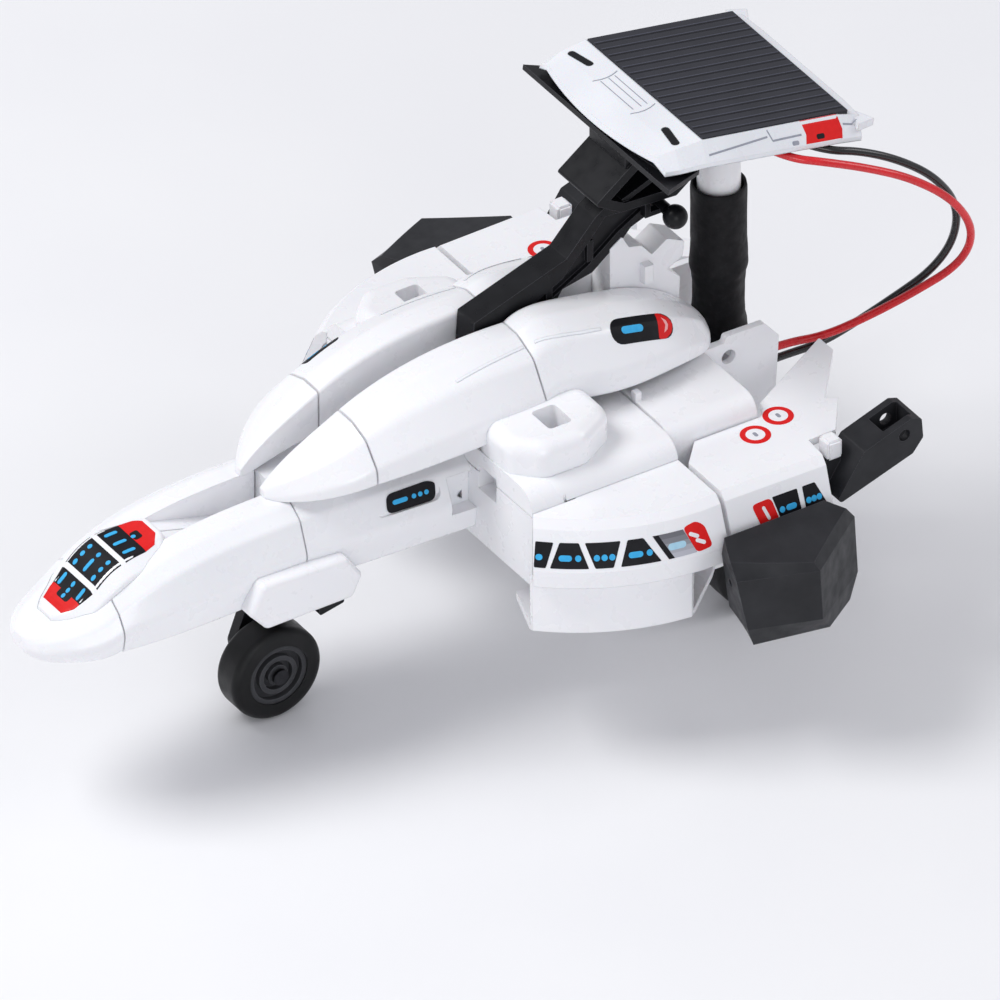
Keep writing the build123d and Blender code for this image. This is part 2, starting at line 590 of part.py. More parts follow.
def wing_pivots():
    """The posts and cross pins that carry the booster and the tail arm."""
    arm = side_prism(38.0, BOOSTER_IN_X - GAP, [(42.6, 34.8), (49.4, 34.8), (49.4, 42.4), (42.6, 42.4)],
                     1.0)
    pin = cyl_x(BOOSTER_IN_X - GAP, BOOSTER_IN_X + 5.0, BOOSTER_Y, BOOSTER_Z, PIN_R)
    shelf = block(38.0, 45.5, 49.0, 61.0, 41.4, 44.4)
    tail_post = side_prism(43.0, 45.5, [(52.0, 44.4), (61.0, 44.4), (61.4, 52.8), (52.0, 52.8)], 1.0)
    tail_pin = cyl_x(45.0, 49.2, TAIL_Y, TAIL_Z, PIN_R)
    return arm + pin + shelf + tail_post + tail_pin


# ---- boosters and tail arms ---------------------------------------------------------------------
def booster():
    """A faceted, gem-shaped pod folded out of flat faces, turning on a cross pin."""
    x0 = BOOSTER_IN_X
    stations = [(28.0, [(x0 + 2.6, 39.6), (64.2, 37.7), (67.2, 53.6), (61.6, 62.0), (x0 + 2.0, 58.0)]),
                (33.0, [(x0 + 0.6, 37.0), (65.4, 35.6), (70.2, 50.0), (60.4, 64.6), (x0, 60.0)]),
                (45.6, [(x0, 35.6), (65.6, 32.8), (71.2, 48.6), (59.4, 64.4), (x0, 61.4)]),
                (49.6, [(x0, 36.2), (61.6, 33.4), (69.6, 46.8), (60.2, 61.4), (x0, 59.4)])]
    pod = loft([flat_face(z, outline) for z, outline in stations], ruled=True)
    slant = Location((62.0, 47.0, 48.6), (0, 7.0, 0)) * Box(40, 60, 10, align=(
        Align.CENTER, Align.CENTER, Align.MIN))
    bore = cyl_x(x0 - 1, x0 + 5.4, BOOSTER_Y, BOOSTER_Z, PIN_R + RUN)
    pin_hole = cyl_y(30, 40.0, 59.6, 41.0, 0.8)
    return pod - slant - bore - pin_hole


def tail_arm():
    """A hollow-ended arm that rises towards the tail, turning on a pin across the wing."""
    hinge_part = side_prism(45.9, 49.6, [(54.4, 45.2), (60.0, 44.0), (66.0, 46.2), (68.0, 54.0),
                                         (62.4, 52.6), (54.4, 52.2)], 0.8)
    arm = side_prism(45.9, 54.3, [(63.0, 45.2), (81.4, 51.2), (83.8, 54.2), (83.4, 58.8), (81.0, 59.6),
                                  (70.0, 55.8)], 0.8)
    cavity = side_prism(47.5, 52.7, [(75.4, 53.2), (82.0, 54.4), (82.0, 70.0), (75.4, 70.0)])
    hinge_bore = cyl_x(40, 49.7, TAIL_Y, TAIL_Z, PIN_R + RUN)
    cross_hole = cyl_x(40, 60, TAIL_HOLE_Y, TAIL_HOLE_Z, TAIL_HOLE_R)
    return hinge_part + arm - cavity - hinge_bore - cross_hole


# ---- gearbox ------------------------------------------------------------------------------------
def polar(centre, distance, angle):
    return (centre[0] + distance * cos(radians(angle)), centre[1] + distance * sin(radians(angle)))


AXLE_TEETH, SMALL_TEETH, BIG_TEETH, PINION_TEETH = 24, 10, 26, 8
AXLE_AT = (AXLE_Y, HUB_Z)
IDLER_B_ANGLE, IDLER_A_ANGLE, MOTOR_ANGLE = 110.0, 75.0, 120.0
IDLER_B_AT = polar(AXLE_AT, MODULE * (AXLE_TEETH + SMALL_TEETH) / 2 + 0.05, IDLER_B_ANGLE)
IDLER_A_AT = polar(IDLER_B_AT, MODULE * (BIG_TEETH + SMALL_TEETH) / 2 + 0.05, IDLER_A_ANGLE)
MOTOR_AT = polar(IDLER_A_AT, MODULE * (BIG_TEETH + PINION_TEETH) / 2 + 0.05, MOTOR_ANGLE)
STAGE_1 = (4.4, 6.2)    # motor pinion and first wheel, along X
STAGE_2 = (6.6, 8.2)
STAGE_3 = (8.6, 10.0)
IDLER_R = 0.75
MOTOR_R = 9.0


def gear(x0, x1, centre, teeth, phase):
    """A spur gear about X. phase turns it, in degrees, from a tooth pointing along +Y."""
    pitch_r = MODULE * teeth / 2
    root_r = pitch_r - 1.2 * MODULE
    tip_r = pitch_r + 0.9 * MODULE
    half_root = 0.30 * pi * MODULE / root_r
    half_pitch = 0.225 * pi * MODULE / pitch_r
    half_tip = 0.10 * pi * MODULE / tip_r
    points = []
    for i in range(teeth):
        middle = radians(phase) + 2 * pi * i / teeth
        flank = ((root_r, -half_root), (pitch_r, -half_pitch), (tip_r, -half_tip),
                 (tip_r, half_tip), (pitch_r, half_pitch), (root_r, half_root))
        for radius, offset in flank:
            points.append((x0, centre[0] + radius * cos(middle + offset),
                           centre[1] + radius * sin(middle + offset)))
    return extrude(make_face(Polyline(*points, close=True)), amount=x1 - x0, dir=(1, 0, 0))


def mesh_phase(teeth, direction):
    """Turns a gear so that a gap of it faces the given direction."""
    return direction + 180.0 / teeth


def gears():
    """The four turning pieces of the train, each in mesh with the next at rest."""
    axle_phase = IDLER_B_ANGLE
    b_small = mesh_phase(SMALL_TEETH, IDLER_B_ANGLE + 180)
    b_big = IDLER_A_ANGLE
    a_small = mesh_phase(SMALL_TEETH, IDLER_A_ANGLE + 180)
    a_big = MOTOR_ANGLE
    pinion = mesh_phase(PINION_TEETH, MOTOR_ANGLE + 180)
    axle = gear(*STAGE_3, AXLE_AT, AXLE_TEETH, axle_phase)
    axle -= cyl_x(0, 20, *AXLE_AT, AXLE_R)
    idler_b = gear(*STAGE_2, IDLER_B_AT, BIG_TEETH, b_big)
    idler_b += gear(STAGE_2[1], STAGE_3[1] + 0.1, IDLER_B_AT, SMALL_TEETH, b_small)
    idler_b -= cyl_x(0, 20, *IDLER_B_AT, IDLER_R + RUN)
    idler_a = gear(*STAGE_1, IDLER_A_AT, BIG_TEETH, a_big)
    idler_a += gear(STAGE_1[1], STAGE_2[1] + 0.1, IDLER_A_AT, SMALL_TEETH, a_small)
    idler_a -= cyl_x(0, 20, *IDLER_A_AT, IDLER_R + RUN)
    rotor = gear(STAGE_1[0] - 0.1, STAGE_1[1], MOTOR_AT, PINION_TEETH, pinion)
    rotor += cyl_x(-8.0, STAGE_1[0], *MOTOR_AT, 0.75)
    rotor += cyl_x(-7.0, 0.0, *MOTOR_AT, 6.0)
    return {"axle_gear": axle, "reduction_gear_b": idler_b, "reduction_gear_a": idler_a,
            "motor_rotor": rotor}


GEARBOX = [(56.0, 3.8), (76.5, 3.8), (76.5, 47.0), (50.6, 47.0), (50.6, 26.0), (54.6, 19.0)]
GEARBOX_INSIDE = [(57.4, 5.2), (75.1, 5.2), (75.1, 45.6), (52.0, 45.6), (52.0, 26.4), (56.0, 19.4)]


def gearbox_half(screws_enter):
    """One half of the gearbox case; the screws enter through the starboard one."""
    body = side_prism(0.05, GEARBOX_HALF, GEARBOX, 0.8)
    body -= side_prism(-1, GEARBOX_HALF - WALL, GEARBOX_INSIDE)
    body -= cyl_x(-1, 20, *AXLE_AT, AXLE_R + RUN)
    for y, z in SCREWS_AT:
        post = cyl_x(0.05, GEARBOX_HALF - 1, y, z, 1.5)
        depth = GEARBOX_HALF + 1 if screws_enter else GEARBOX_HALF - 3
        body += post
        body -= cyl_x(-1, depth, y, z, 0.6)
    return body


SCREWS_AT = ((53.6, 44.2), (73.4, 39.6), (73.4, 20.0), (58.6, 7.0))


def gearbox_screws():
    screws = []
    for y, z in SCREWS_AT:
        head = cyl_x(-GEARBOX_HALF - 0.9, -GEARBOX_HALF, y, z, 1.5)
        head -= block(-GEARBOX_HALF - 2, -GEARBOX_HALF - 0.5, y - 1.0, y + 1.0, z - 0.2, z + 0.2)
        head -= block(-GEARBOX_HALF - 2, -GEARBOX_HALF - 0.5, y - 0.2, y + 0.2, z - 1.0, z + 1.0)
        screws.append((head + cyl_x(-GEARBOX_HALF, 8.0, y, z, 0.6)).solid())
    return Compound(screws)


def motor_can():
    can = cyl_x(-9.6, 3.4, *MOTOR_AT, MOTOR_R)
    can -= cyl_x(-8.2, 2.0, *MOTOR_AT, MOTOR_R - 0.8)
    can -= cyl_x(-8.3, 5.0, *MOTOR_AT, 0.75 + RUN)
    return can


def idler_shafts():
    shafts = [cyl_x(3.6, GEARBOX_HALF - 1.5, *at, IDLER_R) for at in (IDLER_A_AT, IDLER_B_AT)]
    plate = side_prism(3.6, 4.1, [(60.0, 16.0), (68.0, 16.0), (70.5, 32.0), (62.8, 32.0)], 1.0)
    plate -= motor_room()
    return plate + shafts[0] + shafts[1]


def motor_room():
    return cyl_x(-20, 20, *MOTOR_AT, 3.2)


def drive_axle():
    end = REAR_WHEEL_X + WHEEL_W / 2 + 0.4
    return cyl_x(-end, end, *AXLE_AT, AXLE_R)


def terminal_boss():
    """The block on top of the gearbox that the two wires run into."""
    body = block(7.0, 11.0, 68.0, CLIP_Y, 47.0, 53.0)
    return fillet(body.edges().filter_by(Axis.Y).sort_by(Axis.Z)[-2:], 0.5)


# ---- wires --------------------------------------------------------------------------------------
RED_ROUTE = [(20.4, 70.4, 107.6), (23.8, 72.6, 106.8), (26.4, 78.6, 105.2), (27.8, 87.4, 101.4),
             (29.4, 97.2, 96.2), (30.8, 106.4, 88.4), (30.4, 111.6, 78.8), (27.0, 110.6, 69.4),
             (21.2, 102.8, 61.8), (16.2, 95.4, 56.0), (12.2, 88.2, 52.0), (9.1, 81.4, 51.2),
             (9.1, CLIP_Y, 51.2)]
BLACK_ROUTE = [(20.6, 78.4, 106.2), (23.8, 81.0, 105.5), (25.2, 88.0, 103.6), (26.2, 96.4, 99.0),
               (27.0, 104.4, 92.4), (27.0, 109.8, 83.8), (25.2, 110.2, 74.2), (21.8, 107.0, 66.0),
               (16.8, 102.0, 59.0), (13.0, 95.6, 53.2), (10.6, 88.4, 49.2), (9.1, 81.4, 48.4),
               (9.1, CLIP_Y, 48.4)]


def wire(route, name):
    """A free wire along straight runs joined by arcs as large as the runs allow."""
    points = [Vector(*p) for p in route]
    radii = []
    for before, corner, after in zip(points, points[1:], points[2:]):
        turn = (corner - before).get_angle(after - corner)
        run = min((corner - before).length, (after - corner).length)
        radii.append(0.45 * run / tan(radians(turn / 2)))
    path = FilletPolyline(*points, radius=radii)
    start = Plane(origin=points[0], z_dir=points[1] - points[0])
    tube = sweep(start * Circle(WIRE_D / 2), path=path)
    area = pi * WIRE_D ** 2 / 4
    print(name, "radii", [round(r, 1) for r in radii], "length", round(path.length, 1),
          "volume ratio", round(tube.volume / (area * path.length), 4))
    return tube


# ---- build --------------------------------------------------------------------------------------
def main():
    os.makedirs("parts", exist_ok=True)
    save(nose_cone(), "nose_cone")
    save(canopy(), "canopy")
    save_pair(front_hull(), "front_hull")
    save_pair(side_hull(), "side_hull")
    save(nose_gear_fairing(), "nose_gear_fairing")
    save(nose_fork(), "nose_fork")
    save(nose_axle(), "nose_axle")
    save(wheel_hub(0, NOSE_WHEEL_Y, AXLE_R + RUN), "nose_wheel_hub")
    save(wheel_tyre(0, NOSE_WHEEL_Y), "nose_tyre")
    save_pair(shoulder_cap(), "shoulder_cap")
    save_pair(upper_shell(MID_SHELL, 4), "upper_shell_front")
    save_pair(upper_shell(REAR_SHELL, 4), "upper_shell_rear")
    save(torso_block(), "torso_block")
    save_pair(elbow_joint(), "elbow_joint")
    save_pair(rear_block(), "rear_block")
    save(rear_plates(), "rear_plates")
    save(neck_block(), "neck_block")
    save(spine_arm(), "spine_arm")
    save(panel_bracket(), "panel_bracket")
    save(tilt_pin(), "tilt_pin")
    save(pivot_knob(), "pivot_knob")
    save(battery_sleeve(), "battery_sleeve")
    save(battery_cell(), "battery_cell")
    save(battery_cap(), "battery_cap")
    save(panel_tray(), "panel_tray")
    save(panel_frame(), "panel_frame")
    save(solar_cell(), "solar_cell")
    save_pair(wing_upper_front(), "wing_upper_front")
    save_pair(wing_upper_rear(), "wing_upper_rear")
    save_pair(wing_lower(), "wing_lower")
    save_pair(booster(), "booster")
    save_pair(tail_arm(), "tail_arm")
    for node, shape in gears().items():
        save(shape, node)
    save(gearbox_half(False) + terminal_boss(), "gearbox_half_left")
    save(mirrored(gearbox_half(True)), "gearbox_half_right")
    save(gearbox_screws(), "gearbox_screws")
    save(motor_can(), "motor_can")
    save(idler_shafts(), "idler_shafts")
    save(drive_axle(), "drive_axle")
    save_pair(wheel_hub(REAR_WHEEL_X, AXLE_Y, AXLE_R), "wheel_hub")
    save_pair(wheel_tyre(REAR_WHEEL_X, AXLE_Y), "wheel_tyre")
    save(wire(RED_ROUTE, "red wire"), "wire_red")
    save(wire(BLACK_ROUTE, "black wire"), "wire_black")


main()
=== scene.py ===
import json
import math

import bmesh
import bpy
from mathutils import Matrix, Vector
from mathutils.bvhtree import BVHTree


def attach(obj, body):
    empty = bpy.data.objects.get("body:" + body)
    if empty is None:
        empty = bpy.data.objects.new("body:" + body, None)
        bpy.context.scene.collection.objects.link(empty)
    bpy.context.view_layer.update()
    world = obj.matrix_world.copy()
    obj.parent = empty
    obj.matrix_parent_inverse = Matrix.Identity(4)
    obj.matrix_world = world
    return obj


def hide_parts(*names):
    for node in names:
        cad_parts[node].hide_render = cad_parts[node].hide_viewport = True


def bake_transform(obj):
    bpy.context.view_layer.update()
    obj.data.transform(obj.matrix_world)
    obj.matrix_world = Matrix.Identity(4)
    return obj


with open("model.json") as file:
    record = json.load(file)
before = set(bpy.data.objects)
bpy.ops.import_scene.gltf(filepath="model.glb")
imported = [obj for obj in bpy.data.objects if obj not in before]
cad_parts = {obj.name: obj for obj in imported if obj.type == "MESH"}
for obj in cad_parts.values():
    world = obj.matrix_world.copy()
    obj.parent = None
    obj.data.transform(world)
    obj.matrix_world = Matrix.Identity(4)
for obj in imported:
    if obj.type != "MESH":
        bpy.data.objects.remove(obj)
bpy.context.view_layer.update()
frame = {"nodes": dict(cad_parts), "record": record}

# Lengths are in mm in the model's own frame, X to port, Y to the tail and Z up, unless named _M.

MM = 0.001                   # metres in a millimetre
STRAIGHT_DOWN = Vector((0, 0, -1))
QUARTER = math.pi / 2
SIDES = ((1, "left"), (-1, "right"))    # the sign of X on each side and the name of that side


# ---- camera and light ---------------------------------------------------------------------------
VIEW_AZIMUTH = math.radians(57)
VIEW_ELEVATION = math.radians(35)
VIEW_DISTANCE_M = 7.0        # far off, because the photo's rays are nearly parallel
VIEW_WIDTH_M = 0.196         # width of the view at the object
VIEW_DEPTH_M = 20
SENSOR_WIDTH = 36
AIM_M = Vector((0, 0.0195, 0.0294))

LIGHT_SIZE_M = 0.40
# name, place in metres, power in watts, colour
LIGHTS = [("key_light", (-0.25, -0.45, 0.80), 5.0, (1, 1, 1)),
          ("side_light", (0.80, -0.30, 0.35), 1.5, (0.97, 0.98, 1.0)),
          ("back_light", (0.30, 0.75, 0.60), 1.6, (0.98, 0.98, 1.0))]
SKY_COLOUR = (0.93, 0.94, 1.0, 1)
SKY_STRENGTH = 0.55


def make_camera():
    """A long lens that looks at the port side from above, as the photo does."""
    back = Vector((math.sin(VIEW_AZIMUTH) * math.cos(VIEW_ELEVATION),
                   -math.cos(VIEW_AZIMUTH) * math.cos(VIEW_ELEVATION),
                   math.sin(VIEW_ELEVATION)))
    data = bpy.data.cameras.new("camera")
    data.sensor_width = SENSOR_WIDTH
    data.lens = SENSOR_WIDTH * VIEW_DISTANCE_M / VIEW_WIDTH_M
    data.clip_end = VIEW_DEPTH_M
    camera = bpy.data.objects.new("camera", data)
    camera.location = AIM_M + back * VIEW_DISTANCE_M
    camera.rotation_mode = "QUATERNION"
    camera.rotation_quaternion = (-back).to_track_quat("-Z", "Y")
    bpy.context.scene.collection.objects.link(camera)
    bpy.context.scene.camera = camera


def area_light(name, place, watts, colour):
    data = bpy.data.lights.new(name, "AREA")
    data.shape = "SQUARE"
    data.size = LIGHT_SIZE_M
    data.energy = watts
    data.color = colour
    light = bpy.data.objects.new(name, data)
    light.location = place
    light.rotation_mode = "QUATERNION"
    light.rotation_quaternion = (AIM_M - Vector(place)).to_track_quat("-Z", "Y")
    bpy.context.scene.collection.objects.link(light)


def make_lights():
    for name, place, watts, colour in LIGHTS:
        area_light(name, place, watts, colour)
    world = bpy.data.worlds.new("studio")
    world.use_nodes = True
    background = world.node_tree.nodes["Background"]
    background.inputs["Color"].default_value = SKY_COLOUR
    background.inputs["Strength"].default_value = SKY_STRENGTH
    bpy.context.scene.world = world
    bpy.context.scene.view_settings.view_transform = "Standard"


# ---- node helpers -------------------------------------------------------------------------------
MIX_INPUTS = (0, 6, 7)       # a Mix node's factor and its two colours, by number
MIX_OUTPUT = 2               # its resulting colour
BEVEL_SAMPLES = 4
EDGE_FLAT = 0.995            # the cosine between the bevelled and the true normal on a flat face
EDGE_SHARP = 0.90            # and on a sharp edge


def set_socket(tree, socket, value):
    """Links a socket to another one, or gives it a fixed value."""
    if isinstance(value, bpy.types.NodeSocket):
        tree.links.new(value, socket)
    else:
        socket.default_value = value


class Shader:
    """A Principled material whose nodes are added one after another.

    A bump goes over the bumps and the soft edges that were added before it."""

    def __init__(self, name, roughness=0.4, **sockets):
        self.material = bpy.data.materials.new(name)
        self.material.use_nodes = True
        self.tree = self.material.node_tree
        self.bsdf = self.tree.nodes["Principled BSDF"]
        self.bsdf.inputs["Roughness"].default_value = roughness
        for socket, value in sockets.items():
            self.bsdf.inputs[socket.replace("_", " ")].default_value = value
        self.place = self.node("ShaderNodeTexCoord").outputs["Object"]
        self.surface = None

    def node(self, kind, **settings):
        made = self.tree.nodes.new(kind)
        for key, value in settings.items():
            setattr(made, key, value)
        return made

    def link(self, source, target):
        self.tree.links.new(source, target)

    def feed(self, node, **values):
        for key, value in values.items():
            set_socket(self.tree, node.inputs[key.replace("_", " ")], value)

    def noise(self, size_mm, detail=2.0, stretch=(1, 1, 1), distortion=0.0):
        """Cloudy values around 0.5, the clouds about size_mm across."""
        mapping = self.node("ShaderNodeMapping")
        mapping.inputs["Scale"].default_value = stretch
        self.link(self.place, mapping.inputs["Vector"])
        made = self.node("ShaderNodeTexNoise")
        self.feed(made, Vector=mapping.outputs[0], Scale=1.0 / (size_mm * MM), Detail=detail,
                  Distortion=distortion)
        return made.outputs["Fac"]

    def spread(self, value, low, high, to_low=0.0, to_high=1.0):
        """Maps low..high to to_low..to_high, and clamps what is outside."""
        made = self.node("ShaderNodeMapRange")
        self.link(value, made.inputs["Value"])
        for key, number in (("From Min", low), ("From Max", high), ("To Min", to_low),
                            ("To Max", to_high)):
            made.inputs[key].default_value = number
        return made.outputs[0]

    def mix(self, factor, first, second):
        """The first colour where the factor is 0 and the second where it is 1."""
        made = self.node("ShaderNodeMix", data_type="RGBA")
        for number, value in zip(MIX_INPUTS, (factor, first, second)):
            set_socket(self.tree, made.inputs[number], value)
        return made.outputs[MIX_OUTPUT]

    def colour(self, value):
        self.feed(self.bsdf, Base_Color=value)

    def rough(self, value):
        self.link(value, self.bsdf.inputs["Roughness"])

    def bump(self, height, depth_mm):
        made = self.node("ShaderNodeBump")
        made.inputs["Strength"].default_value = 1.0
        made.inputs["Distance"].default_value = depth_mm * MM
        self.link(height, made.inputs["Height"])
        if self.surface is not None:
            self.link(self.surface, made.inputs["Normal"])
        self.surface = made.outputs[0]
        self.link(self.surface, self.bsdf.inputs["Normal"])

    def soft_edges(self, radius_mm):
        """Rounds the look of the sharp moulded edges by their own small radius."""
        made = self.node("ShaderNodeBevel", samples=BEVEL_SAMPLES)
        made.inputs["Radius"].default_value = radius_mm * MM
        self.surface = made.outputs[0]
        self.link(self.surface, self.bsdf.inputs["Normal"])

    def edge_lines(self, radius_mm):
        """1 along sharp edges and 0 on flat faces, from how far a bevelled normal leans over."""
        bevelled = self.node("ShaderNodeBevel", samples=BEVEL_SAMPLES)
        bevelled.inputs["Radius"].default_value = radius_mm * MM
        geometry = self.node("ShaderNodeNewGeometry")
        product = self.node("ShaderNodeVectorMath", operation="DOT_PRODUCT")
        self.link(bevelled.outputs[0], product.inputs[0])
        self.link(geometry.outputs["Normal"], product.inputs[1])
        return self.spread(product.outputs["Value"], EDGE_FLAT, EDGE_SHARP)


def rgb(r, g, b):
    return (r, g, b, 1.0)


# ---- materials ----------------------------------------------------------------------------------
# In each material, noises of their own size drive the colour, the roughness and the bumps. The first
# numbers of s.spread are the part of the noise's range that is used.
def white_plastic(name, base=(0.88, 0.88, 0.90), shade=(0.86, 0.86, 0.885), roughness=0.30):
    """Glossy moulded ABS: a faint cool mottle, flow waves and a fine skin texture."""
    s = Shader(name, roughness, Coat_Weight=0.25, Coat_Roughness=0.12,
               Subsurface_Weight=0.06, Subsurface_Scale=0.002)
    s.soft_edges(0.28)
    mottle = s.spread(s.noise(16, 3.0), 0.35, 0.70)
    s.colour(s.mix(mottle, rgb(*base), rgb(*shade)))
    s.rough(s.spread(s.noise(5, 4.0), 0.35, 0.75, roughness - 0.05, roughness + 0.09))
    s.bump(s.noise(9, 1.0, (1, 0.5, 1)), 0.03)
    s.bump(s.noise(0.35, 2.0), 0.003)
    return s.material


def black_plastic(name, base=(0.006, 0.0062, 0.0075), light=(0.011, 0.0113, 0.0135), roughness=0.32,
                  edge_highlight=(0.075, 0.075, 0.085)):
    """Satin moulded black: spark-eroded grain, a painted highlight that makes the sharp edges paler,
    and a broad sheen.
    """
    s = Shader(name, roughness, Specular_IOR_Level=0.20)
    s.soft_edges(0.30)
    mottle = s.spread(s.noise(7, 4.0), 0.35, 0.70)
    body = s.mix(mottle, rgb(*base), rgb(*light))
    # painted highlight: the sharp edges are mixed towards a paler colour
    s.colour(s.mix(s.edge_lines(0.22), body, rgb(*edge_highlight)))
    s.rough(s.spread(s.noise(3, 4.0), 0.3, 0.75, roughness - 0.08, roughness + 0.12))
    s.bump(s.noise(0.22, 2.0), 0.010)
    return s.material


def tyre_rubber():
    """Smooth toy tyre: dark, slightly dusty, with faint moulding rings."""
    s = Shader("tyre_rubber", 0.5, Specular_IOR_Level=0.3)
    s.soft_edges(0.3)
    dust = s.spread(s.noise(4, 5.0), 0.45, 0.75)
    s.colour(s.mix(dust, rgb(0.004, 0.004, 0.0045), rgb(0.010, 0.010, 0.011)))
    s.rough(s.spread(s.noise(2, 4.0), 0.3, 0.7, 0.36, 0.56))
    s.bump(s.noise(0.3, 3.0), 0.012)
    return s.material


def steel(name, base=(0.62, 0.62, 0.64), roughness=0.28):
    """Drawn steel: fine lines along X and a little tarnish."""
    s = Shader(name, roughness, Metallic=1.0)
    tarnish = s.spread(s.noise(3, 4.0), 0.4, 0.75)
    s.colour(s.mix(tarnish, rgb(*base), rgb(*[0.75 * c for c in base])))
    lines = s.noise(0.15, 2.0, (0.05, 1, 1))
    s.rough(s.spread(lines, 0.3, 0.7, roughness - 0.06, roughness + 0.14))
    s.bump(lines, 0.004)
    return s.material


def gear_nylon():
    """Natural nylon: milky, waxy and slightly translucent."""
    s = Shader("gear_nylon", 0.42, Subsurface_Weight=0.3, Subsurface_Scale=0.002)
    s.soft_edges(0.1)
    s.colour(s.mix(s.spread(s.noise(4, 3.0), 0.35, 0.7), rgb(0.82, 0.81, 0.75),
                   rgb(0.74, 0.72, 0.64)))
    s.rough(s.spread(s.noise(1.5, 3.0), 0.3, 0.7, 0.36, 0.5))
    s.bump(s.noise(0.3, 2.0), 0.006)
    return s.material


def solar_silicon():
    """The laminated cell: dark blue-black strips under a clear resin skin."""
    s = Shader("solar_silicon", 0.34, Specular_IOR_Level=0.3, Coat_Weight=0.1, Coat_Roughness=0.15)
    cloud = s.spread(s.noise(9, 4.0), 0.35, 0.7)
    s.colour(s.mix(cloud, rgb(0.010, 0.0105, 0.017), rgb(0.015, 0.0155, 0.024)))
    s.rough(s.spread(s.noise(3, 3.0), 0.3, 0.7, 0.24, 0.36))
    s.bump(s.noise(0.5, 2.0), 0.004)
    return s.material


def insulation(name, base, deep):
    """Glossy wire insulation with a faint draw mark and a soft mottle."""
    s = Shader(name, 0.26, Coat_Weight=0.35, Coat_Roughness=0.1)
    s.colour(s.mix(s.spread(s.noise(3, 3.0), 0.35, 0.7), rgb(*base), rgb(*deep)))
    s.rough(s.spread(s.noise(1.2, 3.0), 0.3, 0.7, 0.2, 0.34))
    s.bump(s.noise(0.5, 2.0), 0.01)
    return s.material


def sleeve_rubber():
    """Matt black sleeve on the battery: dull, with fine wrinkles and a little lint."""
    s = Shader("sleeve_foam", 0.66, Specular_IOR_Level=0.25)
    lint = s.spread(s.noise(1.1, 5.0), 0.55, 0.78)
    s.colour(s.mix(lint, rgb(0.0035, 0.0035, 0.0045), rgb(0.010, 0.010, 0.012)))
    s.rough(s.spread(s.noise(2, 4.0), 0.3, 0.7, 0.5, 0.72))
    s.bump(s.noise(3.4, 2.0, (1, 1, 0.7), 0.6), 0.10)
    s.bump(s.noise(0.3, 2.0), 0.02)
    return s.material


def cell_jacket():
    """Printed shrink jacket of the small cell, mostly hidden in its sleeve."""
    s = Shader("cell_jacket", 0.3, Coat_Weight=0.3)
    s.colour(s.mix(s.spread(s.noise(3, 3.0), 0.4, 0.7), rgb(0.08, 0.33, 0.18),
                   rgb(0.05, 0.25, 0.14)))
    s.rough(s.spread(s.noise(2, 3.0), 0.3, 0.7, 0.24, 0.4))
    s.bump(s.noise(1.5, 3.0), 0.03)
    return s.material


def rotor_metal():
    """Steel stack and copper turns of the motor, in bands along the shaft."""
    s = Shader("rotor", 0.35, Metallic=1.0)
    bands = s.spread(s.noise(1.6, 1.0, (1, 0.02, 0.02)), 0.45, 0.55)
    s.colour(s.mix(bands, rgb(0.55, 0.54, 0.52), rgb(0.55, 0.28, 0.14)))
    s.rough(s.spread(s.noise(0.6, 3.0), 0.3, 0.7, 0.28, 0.5))
    s.bump(s.noise(0.4, 2.0, (1, 0.3, 0.3)), 0.02)
    return s.material


def sticker(name, base, deep, roughness=0.5):
    """Printed vinyl: an even ink, a hint of print grain and a satin skin."""
    s = Shader(name, roughness, Specular_IOR_Level=0.25)
    s.colour(s.mix(s.spread(s.noise(1.2, 4.0), 0.35, 0.7), rgb(*base), rgb(*deep)))
    s.rough(s.spread(s.noise(2.5, 3.0), 0.3, 0.7, roughness - 0.05, roughness + 0.08))
    s.bump(s.noise(0.6, 2.0), 0.004)
    return s.material


SLOT_MATERIAL = {
    "white_shell": white_plastic("white_shell"),
    # Each black_plastic has a painted highlight along its sharp edges; its last colour, where given,
    # is that highlight
    "black_frame": black_plastic("black_frame"),
    "grey_pod": black_plastic("grey_pod", (0.017, 0.0175, 0.020), (0.026, 0.0265, 0.030), 0.44,
                              (0.060, 0.060, 0.068)),
    "tyre_rubber": tyre_rubber(),
    "hub_dark": black_plastic("hub_dark", (0.040, 0.041, 0.045), (0.058, 0.059, 0.064), 0.42,
                              (0.12, 0.12, 0.13)),
    "hub_white": white_plastic("hub_white", (0.84, 0.84, 0.86), (0.78, 0.78, 0.81), 0.34),
    "gear_nylon": gear_nylon(),
    "steel": steel("steel"),
    "rotor": rotor_metal(),
    "sleeve_foam": sleeve_rubber(),
    "cell_jacket": cell_jacket(),
    "panel_white": white_plastic("panel_white", (0.80, 0.81, 0.84), (0.74, 0.75, 0.785), 0.26),
    "solar_silicon": solar_silicon(),
    "wire_red": insulation("wire_red", (0.70, 0.006, 0.012), (0.60, 0.004, 0.009)),
    "wire_black": insulation("wire_black", (0.004, 0.004, 0.0045), (0.007, 0.007, 0.008)),
}
AXLE_STEEL = steel("blackened_steel", (0.05, 0.05, 0.055), 0.4)
INK_BLACK = sticker("ink_black", (0.002, 0.002, 0.004), (0.004, 0.004, 0.007))
INK_CYAN = sticker("ink_cyan", (0.045, 0.44, 0.80), (0.035, 0.38, 0.74))
INK_RED = sticker("ink_red", (0.72, 0.008, 0.008), (0.66, 0.006, 0.006))
INK_GREY = sticker("ink_grey", (0.32, 0.33, 0.38), (0.27, 0.28, 0.33))
INK_WHITE = sticker("ink_white", (0.86, 0.86, 0.88), (0.80, 0.80, 0.83))
INK_PALE = sticker("ink_pale", (0.42, 0.66, 0.80), (0.36, 0.60, 0.76))
